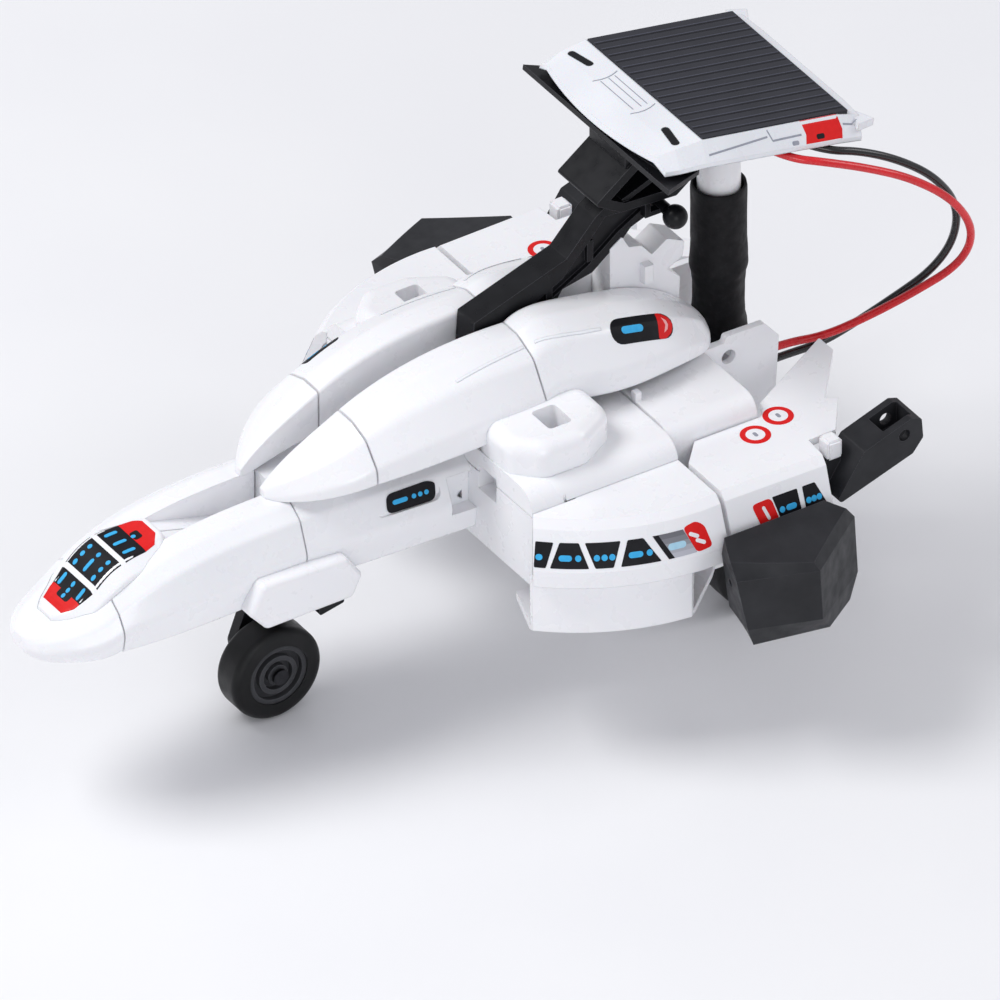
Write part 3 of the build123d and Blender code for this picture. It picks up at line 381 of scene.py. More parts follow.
CELL_LINE = sticker("cell_line", (0.075, 0.078, 0.105), (0.060, 0.063, 0.088))
CELL_DEEP = sticker("cell_deep", (0.004, 0.004, 0.007), (0.006, 0.006, 0.010))
# A painted highlight: the pale pink glint on the capsule's red end, laid as a sticker
PAINTED_GLINT_PINK = sticker("painted_glint_pink", (0.90, 0.45, 0.45), (0.84, 0.38, 0.38))
GREY_TINT = (0.95, 0.96, 1.08)
GREY_LEVELS = (0.16, 0.22, 0.30, 0.42, 0.50)    # down the silvered window
INK_GREYS = []
for step, level in enumerate(GREY_LEVELS):
    grey = [level * part for part in GREY_TINT]
    INK_GREYS.append(sticker(f"ink_grey_{step}", grey, grey))


def slot_of_node():
    """The material slot of each CAD node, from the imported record."""
    found = {}
    for entry in frame["record"]["subparts"]:
        found[entry["node"]] = entry["material_slot"]
    return found


def paint_nodes():
    """Gives each CAD node the material of its slot; the nose axle's steel is blackened."""
    slots = slot_of_node()
    for name, node in frame["nodes"].items():
        material = AXLE_STEEL if name == "nose_axle" else SLOT_MATERIAL[slots[name]]
        node.data.materials.clear()
        node.data.materials.append(material)


# ---- cords --------------------------------------------------------------------------------------
WIRE_D = 1.65
TUBE_SIDES = 20
# The routes are in the setting-out grid of the CAD, whose origin is moved by these to the frame's.
SHIFT_Y = -0.943
FLOOR_Z = 2.0
RED_ROUTE = [(20.4, 70.4, 107.6), (23.8, 72.6, 106.8), (26.4, 78.6, 105.2), (27.8, 87.4, 101.4),
             (29.4, 97.2, 96.2), (30.8, 106.4, 88.4), (30.4, 111.6, 78.8), (27.0, 110.6, 69.4),
             (21.2, 102.8, 61.8), (16.2, 95.4, 56.0), (12.2, 88.2, 52.0), (9.1, 81.4, 51.2),
             (9.1, 75.0, 51.2)]
BLACK_ROUTE = [(20.6, 78.4, 106.2), (23.8, 81.0, 105.5), (25.2, 88.0, 103.6), (26.2, 96.4, 99.0),
               (27.0, 104.4, 92.4), (27.0, 109.8, 83.8), (25.2, 110.2, 74.2), (21.8, 107.0, 66.0),
               (16.8, 102.0, 59.0), (13.0, 95.6, 53.2), (10.6, 88.4, 49.2), (9.1, 81.4, 48.4),
               (9.1, 75.0, 48.4)]


def at_home(point):
    """A place on a route, in metres in the frame."""
    return Vector((point[0], point[1] + SHIFT_Y, point[2] - FLOOR_Z)) * MM


def route_line(name, route):
    """The smooth centreline of a wire, as points read from its NURBS spline."""
    curve = bpy.data.curves.new(name + "_line", "CURVE")
    curve.dimensions = "3D"
    curve.resolution_u = 16
    spline = curve.splines.new("NURBS")
    spline.points.add(len(route) - 1)
    for point, place in zip(spline.points, route):
        point.co = (*at_home(place), 1.0)
    spline.order_u = 3
    spline.use_endpoint_u = True
    holder = bpy.data.objects.new(name + "_line", curve)
    mesh = bpy.data.meshes.new_from_object(holder)
    points = [v.co.copy() for v in mesh.vertices]
    bpy.data.objects.remove(holder)
    bpy.data.meshes.remove(mesh)
    return points


def mesh_of(bm, name, smooth_sides=False):
    """Ends a bmesh: faces turned outwards, with the four-sided ones smooth if asked."""
    bmesh.ops.recalc_face_normals(bm, faces=bm.faces[:])
    for face in bm.faces:
        face.smooth = smooth_sides and len(face.verts) == 4
    mesh = bpy.data.meshes.new(name)
    bm.to_mesh(mesh)
    bm.free()
    return mesh


def tube_mesh(name, points, radius):
    """A closed round tube along the points, its rings turned as little as possible."""
    bm = bmesh.new()
    rings = []
    side = None
    for i, point in enumerate(points):
        ahead = points[min(i + 1, len(points) - 1)] - points[max(i - 1, 0)]
        ahead.normalize()
        if side is None:
            side = ahead.orthogonal().normalized()
        side = (side - ahead * side.dot(ahead)).normalized()
        across = ahead.cross(side)
        ring = []
        for k in range(TUBE_SIDES):
            turn = 2 * math.pi * k / TUBE_SIDES
            spoke = side * math.cos(turn) + across * math.sin(turn)
            ring.append(bm.verts.new(point + spoke * radius))
        rings.append(ring)
    for first, second in zip(rings, rings[1:]):
        for k in range(TUBE_SIDES):
            after = (k + 1) % TUBE_SIDES
            bm.faces.new((first[k], first[after], second[after], second[k]))
    bm.faces.new(rings[0][::-1])
    bm.faces.new(rings[-1])
    return mesh_of(bm, name, smooth_sides=True)


def make_wire(name, route):
    """A wire laid as one fixed round tube along its bent route, from the hull, where its lower end
    is held, up to the tilting panel.
    """
    points = route_line(name, route)
    piece = bpy.data.objects.new(name + "_lead", tube_mesh(name + "_lead", points, WIRE_D / 2 * MM))
    bpy.context.scene.collection.objects.link(piece)
    piece.data.materials.append(SLOT_MATERIAL[name])
    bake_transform(piece)
    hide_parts(name)


make_camera()
make_lights()
make_wire("wire_red", RED_ROUTE)
make_wire("wire_black", BLACK_ROUTE)
paint_nodes()


# ---- stickers -----------------------------------------------------------------------------------
def add_piece(name, mesh, material, body):
    """A visible piece with one material, fixed to a body."""
    piece = bpy.data.objects.new(name, mesh)
    bpy.context.scene.collection.objects.link(piece)
    mesh.materials.append(material)
    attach(piece, body)
    return piece


def surface_of(*nodes):
    """The outer faces of some CAD nodes, for laying stickers on."""
    points = []
    faces = []
    for node in nodes:
        mesh = frame["nodes"][node].data
        start = len(points)
        points.extend(v.co.copy() for v in mesh.vertices)
        faces.extend([start + i for i in p.vertices] for p in mesh.polygons)
    return BVHTree.FromPolygons(points, faces)


CUT_TOLERANCE = 1e-5


def cut_to_grid(bm, step):
    """Cuts a flat outline along a square grid, so that it can bend over a curved surface."""
    for axis in (0, 1):
        values = [v.co[axis] for v in bm.verts]
        normal = Vector((0, 0, 0))
        normal[axis] = 1
        line = math.ceil(min(values) / step) * step
        while line < max(values):
            geometry = bm.verts[:] + bm.edges[:] + bm.faces[:]
            bmesh.ops.bisect_plane(bm, geom=geometry, plane_co=normal * line, plane_no=normal,
                                   dist=CUT_TOLERANCE)
            line += step


OFF_PLANE = 8.0              # how far off a slanted sheet its rays start
ABOVE_ALL = 85.0             # the height, above all of the hull, where a level sheet's rays start
TOP_LIFT = 0.05              # the top of a sticker above its surface
LAYER_LIFT = 0.035           # added for each layer under it
SUNK = 0.03                  # its underside below the surface
PLATE_DEPTH = 0.6            # how thick a sticker is that is a flat plate of its own


class Sheet:
    """A place for stickers: where(u, v) gives a point off the surface and the way onto it.

    step is the grid at which a sticker is cut so that it can bend. A sheet without a surface
    carries flat plates of its own."""

    def __init__(self, name, where, surface, body, step=1.0):
        self.name = name
        self.where = where
        self.surface = surface
        self.body = body
        self.step = step
        self.count = 0

    def land(self, u, v, lift):
        """The place at (u, v), lift mm above the surface."""
        start, way = self.where(u, v)
        if self.surface is None:
            return start + way * (OFF_PLANE - lift) * MM
        hit = self.surface.ray_cast(start, way)[0]
        if hit is None:
            raise ValueError(f"{self.name}: nothing under ({u:.2f}, {v:.2f})")
        return hit - way * lift * MM

    def put(self, outline, material, layer=0, slot="white_shell"):
        """One sticker, a closed sheet whose underside lies just inside the surface."""
        bm = bmesh.new()
        corners = [bm.verts.new((u, v, 0)) for u, v in outline]
        bm.faces.new(corners)
        cut_to_grid(bm, self.step)
        made = bmesh.ops.extrude_face_region(bm, geom=bm.faces[:], use_keep_orig=True)
        top = {item for item in made["geom"] if isinstance(item, bmesh.types.BMVert)}
        under = -SUNK if self.surface else -PLATE_DEPTH
        for vertex in bm.verts:
            lift = TOP_LIFT + LAYER_LIFT * layer if vertex in top else under
            vertex.co = self.land(vertex.co.x, vertex.co.y, lift)
        self.count += 1
        mesh = mesh_of(bm, f"{self.name}_{self.count}")
        add_piece(mesh.name, mesh, material, self.body)


def pill(u, v, length, width, tilt=0.0, points=6):
    """A round-ended bar centred at (u, v), lying along u until it is tilted."""
    half = (length - width) / 2
    outline = []
    for side in (1, -1):
        for k in range(points + 1):
            turn = math.pi * (k / points - 0.5) + (0 if side > 0 else math.pi)
            outline.append((side * half + width / 2 * math.cos(turn), width / 2 * math.sin(turn)))
    c, s = math.cos(tilt), math.sin(tilt)
    return [(u + c * a - s * b, v + s * a + c * b) for a, b in outline]


def disc(u, v, radius, points=28):
    """A round sticker's outline."""
    return [(u + radius * math.cos(2 * math.pi * k / points),
             v + radius * math.sin(2 * math.pi * k / points)) for k in range(points)]


REACH = 0.4                  # a rounded corner takes at most this share of the edges beside it


def rounded(outline, radius, points=4):
    """The outline with its corners rounded."""
    result = []
    count = len(outline)
    for i, corner in enumerate(outline):
        before = Vector(outline[i - 1]) - Vector(corner)
        after = Vector(outline[(i + 1) % count]) - Vector(corner)
        reach = min(radius, REACH * before.length, REACH * after.length)
        first = Vector(corner) + before.normalized() * reach
        last = Vector(corner) + after.normalized() * reach
        for k in range(points + 1):
            t = k / points
            place = first * (1 - t) ** 2 + Vector(corner) * 2 * t * (1 - t) + last * t ** 2
            result.append(tuple(place))
    return result


def sheet_from_above(name, nodes, step, side=1):
    """Stickers laid straight down on some nodes: u is X towards the side given and v is Y."""
    def where(u, v):
        return Vector((side * u, v, ABOVE_ALL)) * MM, STRAIGHT_DOWN

    return Sheet(name, where, surface_of(*nodes), "fuselage", step)


# ---- the cockpit canopy -------------------------------------------------------------------------
DOT_R = 0.5                  # of most of the lit dots in the dark windows
DOT_POINTS = 12


def canopy_stickers():
    sheet = sheet_from_above("canopy_print", ["canopy", "nose_cone"], 0.8)
    front_red = [(-4.7, -81.1), (-4.45, -82.2), (-3.2, -84.4), (3.2, -84.4), (4.45, -82.2),
                 (4.7, -81.1)]
    rear_red = [(-5.2, -66.0), (-4.6, -63.6), (-2.4, -62.0), (2.4, -62.0), (4.6, -63.6),
                (5.2, -66.0)]
    front = [(-5.5, -78.5), (-4.65, -81.3), (4.65, -81.3), (5.5, -78.5)]
    middle = [(-5.7, -72.0), (-5.7, -77.6), (5.7, -77.6), (5.7, -72.0)]
    rear = [(-5.2, -65.9), (-5.7, -70.9), (5.7, -70.9), (5.2, -65.9)]
    for outline in (front, middle, rear):
        sheet.put(outline, INK_BLACK)
    for outline in (front_red, rear_red):
        sheet.put(outline, INK_RED, 1)
    sheet.put(rounded([(-1.9, -80.7), (-1.9, -82.4), (1.9, -82.4), (1.9, -80.7)], 0.8), INK_BLACK, 2)
    sheet.put(rounded([(-1.3, -65.9), (-1.3, -64.1), (1.3, -64.1), (1.3, -65.9)], 0.6), INK_BLACK, 2)
    for row in (-3.3, 3.3):
        sheet.put(pill(row, -79.9, 2.1, 0.85, QUARTER), INK_CYAN, 3)
        sheet.put(pill(row, -68.7, 2.9, 0.85, QUARTER), INK_CYAN, 3)
        for v in (-76.9, -75.2, -73.5):
            sheet.put(disc(row, v, DOT_R, DOT_POINTS), INK_CYAN, 3)
    for v in (-79.5, -80.7, -81.8):
        sheet.put(disc(0, v, 0.46, DOT_POINTS), INK_CYAN, 3)
    sheet.put(pill(0, -75.9, 2.5, 0.85, QUARTER), INK_CYAN, 3)
    sheet.put(disc(0, -73.6, DOT_R, DOT_POINTS), INK_CYAN, 3)
    sheet.put(pill(0, -68.7, 3.0, 0.85, QUARTER), INK_CYAN, 3)
    sheet.put(disc(0, -65.6, DOT_R, DOT_POINTS), INK_CYAN, 3)


# ---- side window, shell capsule and far shell mark ----------------------------------------------
def slanted_sheet(name, centre, along, normal, surface):
    """A flat place laid over a surface: u runs along, v runs up the slope."""
    normal = Vector(normal).normalized()
    along = Vector(along)
    along = (along - normal * along.dot(normal)).normalized()
    up = normal.cross(along)
    if up.z < 0:
        up = -up
    middle = Vector(centre)

    def where(u, v):
        return (middle + along * u + up * v + normal * OFF_PLANE) * MM, -normal

    return Sheet(name, where, surface, "fuselage")


def window_stickers():
    """The dark window in each side hull, a plate that stands a little proud of its recess."""
    for side, name in SIDES:
        sheet = slanted_sheet("window_" + name, (side * 14.86, -11.1, 50.35), (side * 0.06, 1, 0),
                              (side * 0.92, -0.055, 0.39), None)
        sheet.put(rounded([(-5.4, -1.9), (5.4, -1.9), (5.9, 1.5), (4.2, 2.2), (-4.9, 2.0)], 1.4),
                  INK_BLACK)
        sheet.put(pill(-2.2, 0.05, 3.4, 0.95), INK_CYAN, 1)
        for u in (0.9, 2.3, 3.7):
            sheet.put(disc(u, 0.1, DOT_R, DOT_POINTS), INK_CYAN, 1)


def capsule_stickers():
    """The capsule on each rear upper shell: a cyan bar, a red end and a painted highlight on it, a
    pale pink glint.
    """
    for side, name in SIDES:
        sheet = slanted_sheet("capsule_" + name, (side * 14.9, 42.8, 70.2), (0, 1, -0.22),
                              (side * 0.62, 0.2, 0.76), surface_of("upper_shell_rear_" + name))
        sheet.put(pill(0, 0, 15.4, 5.4, 0.0, 10), INK_BLACK)
        red_end = [(3.4, -2.7), (5.2, -2.68), (6.9, -1.6), (7.7, 0.0), (6.9, 1.6), (5.2, 2.68),
                   (4.2, 2.7)]
        sheet.put(rounded(red_end, 0.5), INK_RED, 1)
        sheet.put(pill(-2.6, 0, 5.2, 1.5), INK_CYAN, 1)
        # A painted highlight: the pale pink glint on the red end
        sheet.put([(5.0, -1.5), (5.7, 0.0), (5.2, 1.6), (6.1, 0.9), (6.4, 0.0), (6.0, -0.9)],
                  PAINTED_GLINT_PINK, 2)


def far_shell_sticker():
    """The small dark mark on the starboard front shell."""
    sheet = slanted_sheet("shell_mark", (-14.8, -13.4, 69.5), (0, 1, 0.24), (-0.62, 0, 0.78),
                          surface_of("upper_shell_front_right"))
    sheet.put(rounded([(-4.6, -1.7), (4.6, -1.5), (4.6, 1.5), (-4.0, 1.7)], 1.2), INK_BLACK)
    sheet.put(pill(-1.4, 0, 2.8, 0.9), INK_CYAN, 1)
    sheet.put(disc(1.6, 0, DOT_R, DOT_POINTS), INK_CYAN, 1)


# ---- bands of windows on the wing rims ----------------------------------------------------------
RIM_CENTRE = (5.0, 34.057)   # of the curved front rim, mirrored to starboard
RIM_TOP_R = 47.1
RIM_MEAN_R = 48.6            # turns arc lengths into angles
RIM_TOP_Z = 52.4
RIM_SLOPE = 0.375            # how much the rims lean out for each mm down
REAR_RIM_TOP_X = 51.8
REAR_RIM_START_Y = 38
REAR_RIM_FLARE = 0.02        # how much the rear rim leans out for each mm towards the tail
OFF_RIM = 3.0                # how far off the rims the rays start
BAND_STEP = 1.2
BAND_TOP, BAND_LOW = 2.3, 7.2           # the windows' edges, below the rim's top
BAND_MARK = 5.2              # the row of lit marks in them


def front_band(side):
    """u is the arc length round the rim, from straight out to the side; v goes down the band."""
    def where(u, v):
        turn = u / RIM_MEAN_R
        radius = RIM_TOP_R + RIM_SLOPE * v
        outward = Vector((side * math.cos(turn), math.sin(turn), RIM_SLOPE)).normalized()
        place = Vector((side * (RIM_CENTRE[0] + radius * math.cos(turn)),
                        RIM_CENTRE[1] + radius * math.sin(turn), RIM_TOP_Z - v))
        return (place + outward * OFF_RIM) * MM, -outward

    return where


def rear_band(side):
    """u is the distance towards the tail; v goes down the band."""
    def where(u, v):
        outward = Vector((side, 0, RIM_SLOPE)).normalized()
        rim_x = REAR_RIM_TOP_X + RIM_SLOPE * v + REAR_RIM_FLARE * (u - REAR_RIM_START_Y)
        return (Vector((side * rim_x, u, RIM_TOP_Z - v)) + outward * OFF_RIM) * MM, -outward

    return where


def window_in_band(sheet, top, low, bars, dots):
    """One window: where its top and low edges start and end, and the lit bars and dots in it."""
    outline = [(top[0], BAND_TOP), (top[1], BAND_TOP), (low[1], BAND_LOW), (low[0], BAND_LOW)]
    sheet.put(rounded(outline, 0.25, 2), INK_BLACK)
    for start, end in bars:
        sheet.put(pill((start + end) / 2, BAND_MARK, end - start, 1.15), INK_CYAN, 1)
    for u in dots:
        sheet.put(disc(u, BAND_MARK, 0.62, DOT_POINTS), INK_CYAN, 1)


def wing_stickers():
    """The windows, tags and rings of both wings."""
    for side, name in SIDES:
        sheet = Sheet("band_front_" + name, front_band(side),
                      surface_of("wing_upper_front_" + name), "fuselage", BAND_STEP)
        window_in_band(sheet, (-36.2, -32.6), (-36.2, -33.9), [(-36.0, -34.6)], [])
        window_in_band(sheet, (-31.4, -27.6), (-33.1, -25.6), [(-31.5, -28.9)], [-27.7])
        window_in_band(sheet, (-26.4, -19.3), (-24.4, -20.9), [], [-24.1, -22.6, -21.1])
        window_in_band(sheet, (-17.9, -14.7), (-19.5, -11.5), [(-17.9, -15.0)], [-13.7])
        grey_window(sheet)
        front_tag(sheet)
        sheet = Sheet("band_rear_" + name, rear_band(side),
                      surface_of("wing_upper_rear_" + name), "fuselage", BAND_STEP)
        rear_tag(sheet)
        window_in_band(sheet, (48.4, 54.1), (49.5, 54.3), [(51.0, 53.4)], [50.1])
        window_in_band(sheet, (55.3, 58.2), (55.3, 60.2), [], [56.2, 57.4, 58.6])
        wing_rings(name, side)


def grey_window(sheet):
    """The silvered window: a black leading stripe, greys that lighten downwards, a pale bar."""
    sheet.put([(-12.8, BAND_TOP), (-11.6, BAND_TOP), (-8.8, BAND_LOW), (-10.0, BAND_LOW)],
              INK_BLACK)

    def edges(share):
        """The window's two edges and their height, at this share of the way down."""
        return (-11.6 + 2.8 * share, -6.3 + 2.2 * share,
                BAND_TOP + (BAND_LOW - BAND_TOP) * share)

    for k, ink in enumerate(INK_GREYS):
        start, end, height = edges(k / len(INK_GREYS))
        low_start, low_end, low_height = edges((k + 1) / len(INK_GREYS))
        sheet.put([(start, height), (end, height), (low_end, low_height), (low_start, low_height)],
                  ink)
    sheet.put(pill(-8.0, BAND_MARK - 0.2, 3.8, 1.3), INK_PALE, 1)


def front_tag(sheet):
    """A red tag with two white bars."""
    outline = [(-6.3, BAND_TOP - 0.3), (-3.4, BAND_TOP - 0.9), (-1.6, BAND_TOP + 0.4),
               (-0.6, BAND_LOW - 0.2), (-4.1, BAND_LOW + 0.1)]
    sheet.put(rounded(outline, 0.9), INK_RED)
    sheet.put(pill(-4.2, 3.9, 2.3, 0.75, 0.5), INK_WHITE, 1)
    sheet.put(pill(-3.0, 5.4, 2.3, 0.75, 0.5), INK_WHITE, 1)


def rear_tag(sheet):
    """A red tag with one white bar."""
    outline = [(43.6, BAND_TOP + 0.2), (48.1, BAND_TOP), (49.2, BAND_LOW), (45.0, BAND_LOW + 0.1)]
    sheet.put(rounded(outline, 1.1), INK_RED)
    sheet.put(pill(46.5, 4.8, 3.0, 0.7, QUARTER - 0.35), INK_WHITE, 1)


RING_CENTRES = ((38.0, 54.3), (35.0, 61.6))
RING_R = 3.1
RING_HOLE_R = 1.95


def wing_rings(name, side):
    """The two red rings on a rear wing plate, with a small grey bar in each."""
    sheet = sheet_from_above("ring_" + name, ["wing_upper_rear_" + name], 1.6, side)
    for u, v in RING_CENTRES:
        sheet.put(disc(u, v, RING_R), INK_RED)
        sheet.put(disc(u, v, RING_HOLE_R, 20), INK_WHITE, 1)
        sheet.put(pill(u, v, 1.5, 0.8), INK_GREY, 2)


# ---- the solar panel's prints and inserts --------------------------------------------------------
PANEL_MIDDLE = Vector((0, 70.057, 111.0))
PANEL_FALL = math.radians(10)
PANEL_ALONG = Vector((0, math.cos(PANEL_FALL), -math.sin(PANEL_FALL)))
PANEL_NORMAL = Vector((0, math.sin(PANEL_FALL), math.cos(PANEL_FALL)))
OFF_PANEL = 6.0              # how far off the panel the rays start
LINE_WIDTH = 0.22
FINE_WIDTH = 0.16
CELL_LINE_COUNT = 16
CELL_PITCH = 2.48
CELL_FIRST_U = -18.6
CELL_END_V = 16.9
CELL_DARK_OFF = 0.5          # from a pale line to the dark one beside it
CELL_DARK_WIDTH = 0.40
CELL_STEP = 100              # the cell is flat, so its lines need hardly any cuts


def on_panel(u, v, w):
    """A place on the panel: u across to port, v towards the tail, w off the cell's plane."""
    return (PANEL_MIDDLE + Vector((u, 0, 0)) + PANEL_ALONG * v + PANEL_NORMAL * w) * MM


def panel_sheet(name, node, step):
    """Stickers laid on one node of the panel, square to the cell."""
    def where(u, v):
        return on_panel(u, v, OFF_PANEL), -PANEL_NORMAL

    return Sheet(name, where, surface_of(node), "panel", step)


def strip(points, width):
    """The outline of a line of the given width through some points."""
    left, right = [], []
    for i, point in enumerate(points):
        ahead = Vector(points[min(i + 1, len(points) - 1)]) - Vector(points[max(i - 1, 0)])
        across = Vector((-ahead.y, ahead.x)).normalized() * width / 2
        left.append(tuple(Vector(point) + across))
        right.append(tuple(Vector(point) - across))
    return left + right[::-1]


def cell_lines():
    """Fine paler lines between the strips of the solar cell, each with a dark one beside it."""
    sheet = panel_sheet("cell_line", "solar_cell", CELL_STEP)
    for k in range(CELL_LINE_COUNT):
        pale_u = CELL_FIRST_U + CELL_PITCH * k
        for u, width, ink in ((pale_u, LINE_WIDTH, CELL_LINE),
                              (pale_u + CELL_DARK_OFF, CELL_DARK_WIDTH, CELL_DEEP)):
            line = strip([(u, -CELL_END_V), (u, CELL_END_V)], width)
            sheet.put(line, ink, -1, "solar_silicon")


def frame_lines():
    """Thin printed lines and a red tag on the frame's front lip and its two side strips."""
    sheet = panel_sheet("frame_line", "panel_frame", 0.8)
    for u in (-8.5, 5.0):
        bow = [(u + 0.9 - 0.09 * (v + 21.0) ** 2, v) for v in (-18.2, -19.6, -21.0, -22.4, -23.8)]
        sheet.put(strip(bow, LINE_WIDTH), INK_GREY)
    for v in (-19.4, -20.8, -22.6):
        sheet.put(strip([(-7.3, v), (4.3, v)], FINE_WIDTH), INK_GREY)
    for side in (1, -1):
        lines = [[(22.7, -16.6), (22.0, -2.6)], [(21.2, -2.4), (22.6, -1.5)],
                 [(22.6, -1.5), (22.5, 5.3)], [(22.0, 15.4), (22.0, 18.6)]]
        for line in lines:
            sheet.put(strip([(side * u, v) for u, v in line], LINE_WIDTH), INK_GREY)
        sheet.put(pill(side * 23.35, 3.6, 1.6, 0.5, QUARTER), INK_GREY)
        tag = [(20.75, 5.6), (20.75, 14.2), (22.6, 15.0), (23.7, 14.6), (23.7, 6.0), (22.6, 6.4)]
        sheet.put([(side * u, v) for u, v in tag], INK_RED, 1)
        sheet.put(pill(side * 23.1, 9.6, 1.9, 0.6, QUARTER), INK_BLACK, 2)


LIP_FRONT_V = -23.4
LIP_FRONT_W = -1.0           # the lip's top face at its front edge
LIP_RISE = 0.224             # how much that face rises for each mm towards the cell
STRAP_TOP = 0.05             # the strap's faces below the lip's
STRAP_UNDER = 1.2


def slot_insert(name, side):
    """A black strap through a slot of the front lip, just under the lip's sloping face."""
    bm = bmesh.new()
    outline = pill(side * 16.0, -21.6, 6.5, 1.6, -side * math.radians(10))

    def ring(below):
        return [bm.verts.new(on_panel(u, v, LIP_FRONT_W + LIP_RISE * (v - LIP_FRONT_V) - below))
                for u, v in outline]

    top = ring(STRAP_TOP)
    low = ring(STRAP_UNDER)
    bm.faces.new(top)
    bm.faces.new(low[::-1])
    for i in range(len(outline)):
        bm.faces.new((top[i - 1], low[i - 1], low[i], top[i]))
    add_piece(name, mesh_of(bm, name), SLOT_MATERIAL["black_frame"], "panel")


# ---- the crumpled sleeve of the battery ----------------------------------------------------------
SLEEVE_Y = 70.557
# (z, radius) up the sleeve: a flared foot, a tight waist, a swollen fold and a straight top
SLEEVE_PROFILE = [(49.0, 5.70), (50.6, 5.86), (53.0, 5.74), (55.6, 5.34), (58.4, 5.20),
                  (62.4, 5.22), (64.8, 5.42), (67.4, 5.88), (69.6, 5.74), (73.0, 5.62),
                  (80.0, 5.60), (85.0, 5.66), (86.0, 5.50)]
SLEEVE_SIDES = 72
SLEEVE_RINGS = 90
SLEEVE_LIP = (5.30, 86.1)    # radius and z of the crest of its top edge
SLEEVE_BORE_R = 5.06
SLEEVE_BORE_TOP_Z = 86.0
SLEEVE_BORE_LOW_Z = 50.3
TIGHT_R = 5.14               # where the sleeve is no wider than this, it has no folds
MOST_SLACK = 0.16
SMOOTH_Z = 73                # above this the folds are faint
SMOOTH_SHARE = 0.25
FOLD_SHARE = 0.6


def sleeve_radius(z, turn):
    """The profile's radius, eased between its points, with crossed folds where it is slack."""
    for (z0, r0), (z1, r1) in zip(SLEEVE_PROFILE, SLEEVE_PROFILE[1:]):
        if z <= z1:
            t = (z - z0) / (z1 - z0)
            t = t * t * (3 - 2 * t)
            radius = r0 + (r1 - r0) * t
            break
    fold = math.sin(2 * turn + 0.35 * z) * math.sin(5 * turn - 0.22 * z)
    slack = min(max(radius - TIGHT_R, 0.0), MOST_SLACK)
    if z > SMOOTH_Z:
        slack *= SMOOTH_SHARE
    return radius + slack * fold * FOLD_SHARE


def crumpled_sleeve():
    """The sleeve as one closed cup: up the crumpled outside, over the lip and down the bore."""
    bm = bmesh.new()
    turns = [2 * math.pi * k / SLEEVE_SIDES for k in range(SLEEVE_SIDES)]
    low_z = SLEEVE_PROFILE[0][0]
    height = SLEEVE_PROFILE[-1][0] - low_z
    rings = []
    for k in range(SLEEVE_RINGS + 1):
        z = low_z + height * k / SLEEVE_RINGS
        rings.append([(sleeve_radius(z, turn), z) for turn in turns])
    for radius, z in (SLEEVE_LIP, (SLEEVE_BORE_R, SLEEVE_BORE_TOP_Z),
                      (SLEEVE_BORE_R, SLEEVE_BORE_LOW_Z)):
        rings.append([(radius, z)] * SLEEVE_SIDES)
    placed = []
    for ring in rings:
        row = []
        for turn, (radius, z) in zip(turns, ring):
            place = Vector((radius * math.cos(turn), SLEEVE_Y + radius * math.sin(turn), z))
            row.append(bm.verts.new(place * MM))
        placed.append(row)
    for first, second in zip(placed, placed[1:]):
        for k in range(SLEEVE_SIDES):
            bm.faces.new((first[k - 1], first[k], second[k], second[k - 1]))
    bm.faces.new(placed[0])
    bm.faces.new(placed[-1][::-1])
    mesh = mesh_of(bm, "crumpled_sleeve", smooth_sides=True)
    piece = add_piece(mesh.name, mesh, SLOT_MATERIAL["sleeve_foam"], "fuselage")
    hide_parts("battery_sleeve")


# ---- small moulded details -----------------------------------------------------------------------
RIDGE_WIDTH = 0.55
RIDGE_LINES = {"front": [(13.7, 0.4), (13.3, 5.0), (12.8, 11.0), (12.2, 17.0)],
               "rear": [(12.6, 19.3), (13.6, 24.0), (14.2, 29.0), (14.4, 33.6)]}
TAB_X = (46.3, 50.2)         # the tail arms' tabs, from and to
TAB_Y = (63.4, 66.8)
TAB_Z = (51.0, 55.4)
TAB_CHAMFER = 0.5


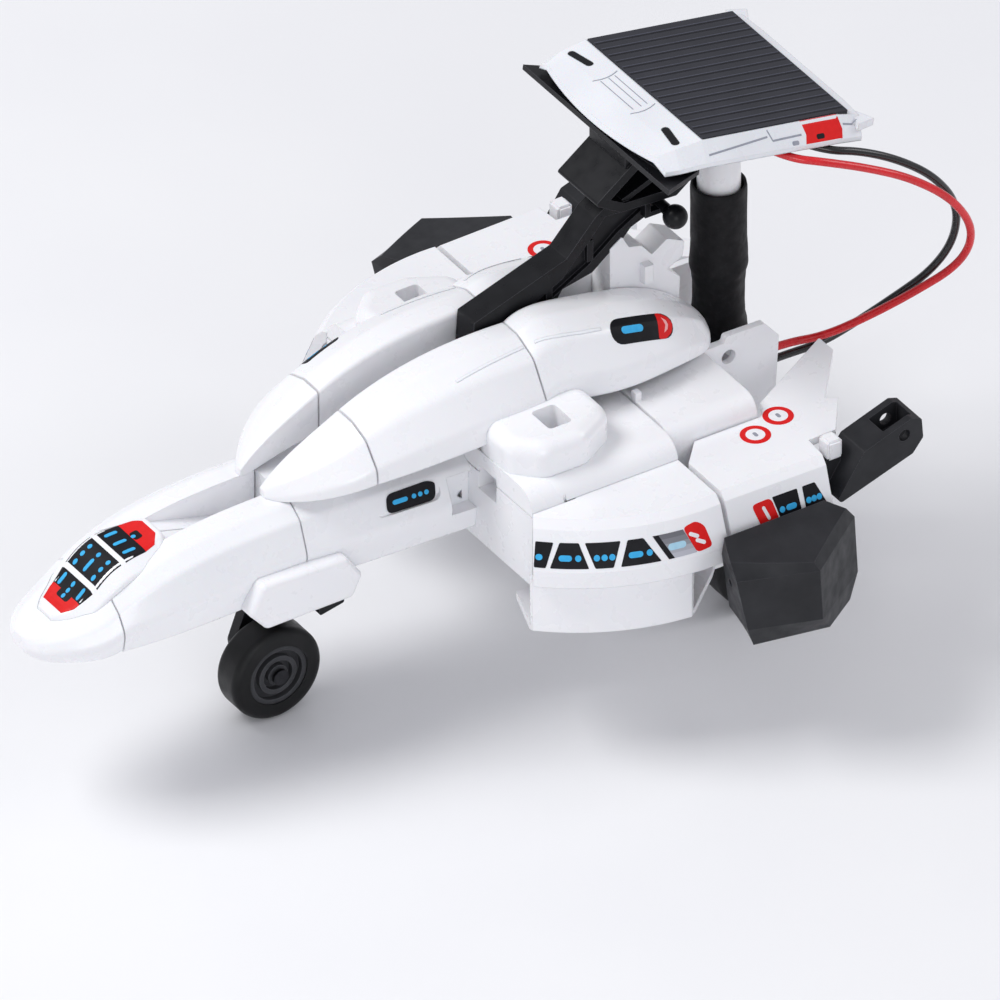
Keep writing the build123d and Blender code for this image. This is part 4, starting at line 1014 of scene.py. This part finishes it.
def flank_ridges():
    """A fine raised ridge along each upper shell."""
    for side, name in SIDES:
        for part, line in RIDGE_LINES.items():
            sheet = sheet_from_above(f"ridge_{part}_{name}", [f"upper_shell_{part}_{name}"], 1.0)
            outline = strip([(side * x, y) for x, y in line], RIDGE_WIDTH)
            sheet.put(outline, SLOT_MATERIAL["white_shell"], 3)


def block_mesh(name, low, high, chamfer):
    """A box with chamfered edges, from its lowest and highest corners in mm."""
    bm = bmesh.new()
    bmesh.ops.create_cube(bm, size=1.0)
    for vertex in bm.verts:
        for axis in range(3):
            vertex.co[axis] = (low[axis] if vertex.co[axis] < 0 else high[axis]) * MM
    bmesh.ops.bevel(bm, geom=bm.edges[:], offset=chamfer * MM, segments=2, affect="EDGES")
    return mesh_of(bm, name)


def tail_arm_tabs():
    """The white tab on the root of each tail arm."""
    for side, name in SIDES:
        low_x, high_x = sorted(side * x for x in TAB_X)
        mesh = block_mesh("tail_tab_" + name, (low_x, TAB_Y[0], TAB_Z[0]),
                          (high_x, TAB_Y[1], TAB_Z[1]), TAB_CHAMFER)
        add_piece(mesh.name, mesh, SLOT_MATERIAL["white_shell"], "tail_arm_" + name)


flank_ridges()
tail_arm_tabs()
cell_lines()
frame_lines()
slot_insert("strap_port", 1)
slot_insert("strap_starboard", -1)
crumpled_sleeve()
canopy_stickers()
window_stickers()
capsule_stickers()
far_shell_sticker()
wing_stickers()


# ---- floor --------------------------------------------------------------------------------------
FLOOR_HALF_M = 3.0


def make_floor():
    half = FLOOR_HALF_M
    mesh = bpy.data.meshes.new("floor")
    mesh.from_pydata([(-half, -half, 0), (half, -half, 0), (half, half, 0), (-half, half, 0)], [],
                     [(0, 1, 2, 3)])
    floor = bpy.data.objects.new("floor", mesh)
    bpy.context.scene.collection.objects.link(floor)
    s = Shader("floor", 0.6)
    s.colour(s.mix(s.spread(s.noise(60, 2.0), 0.3, 0.7), rgb(0.86, 0.86, 0.87),
                   rgb(0.84, 0.84, 0.855)))
    mesh.materials.append(s.material)


make_floor()
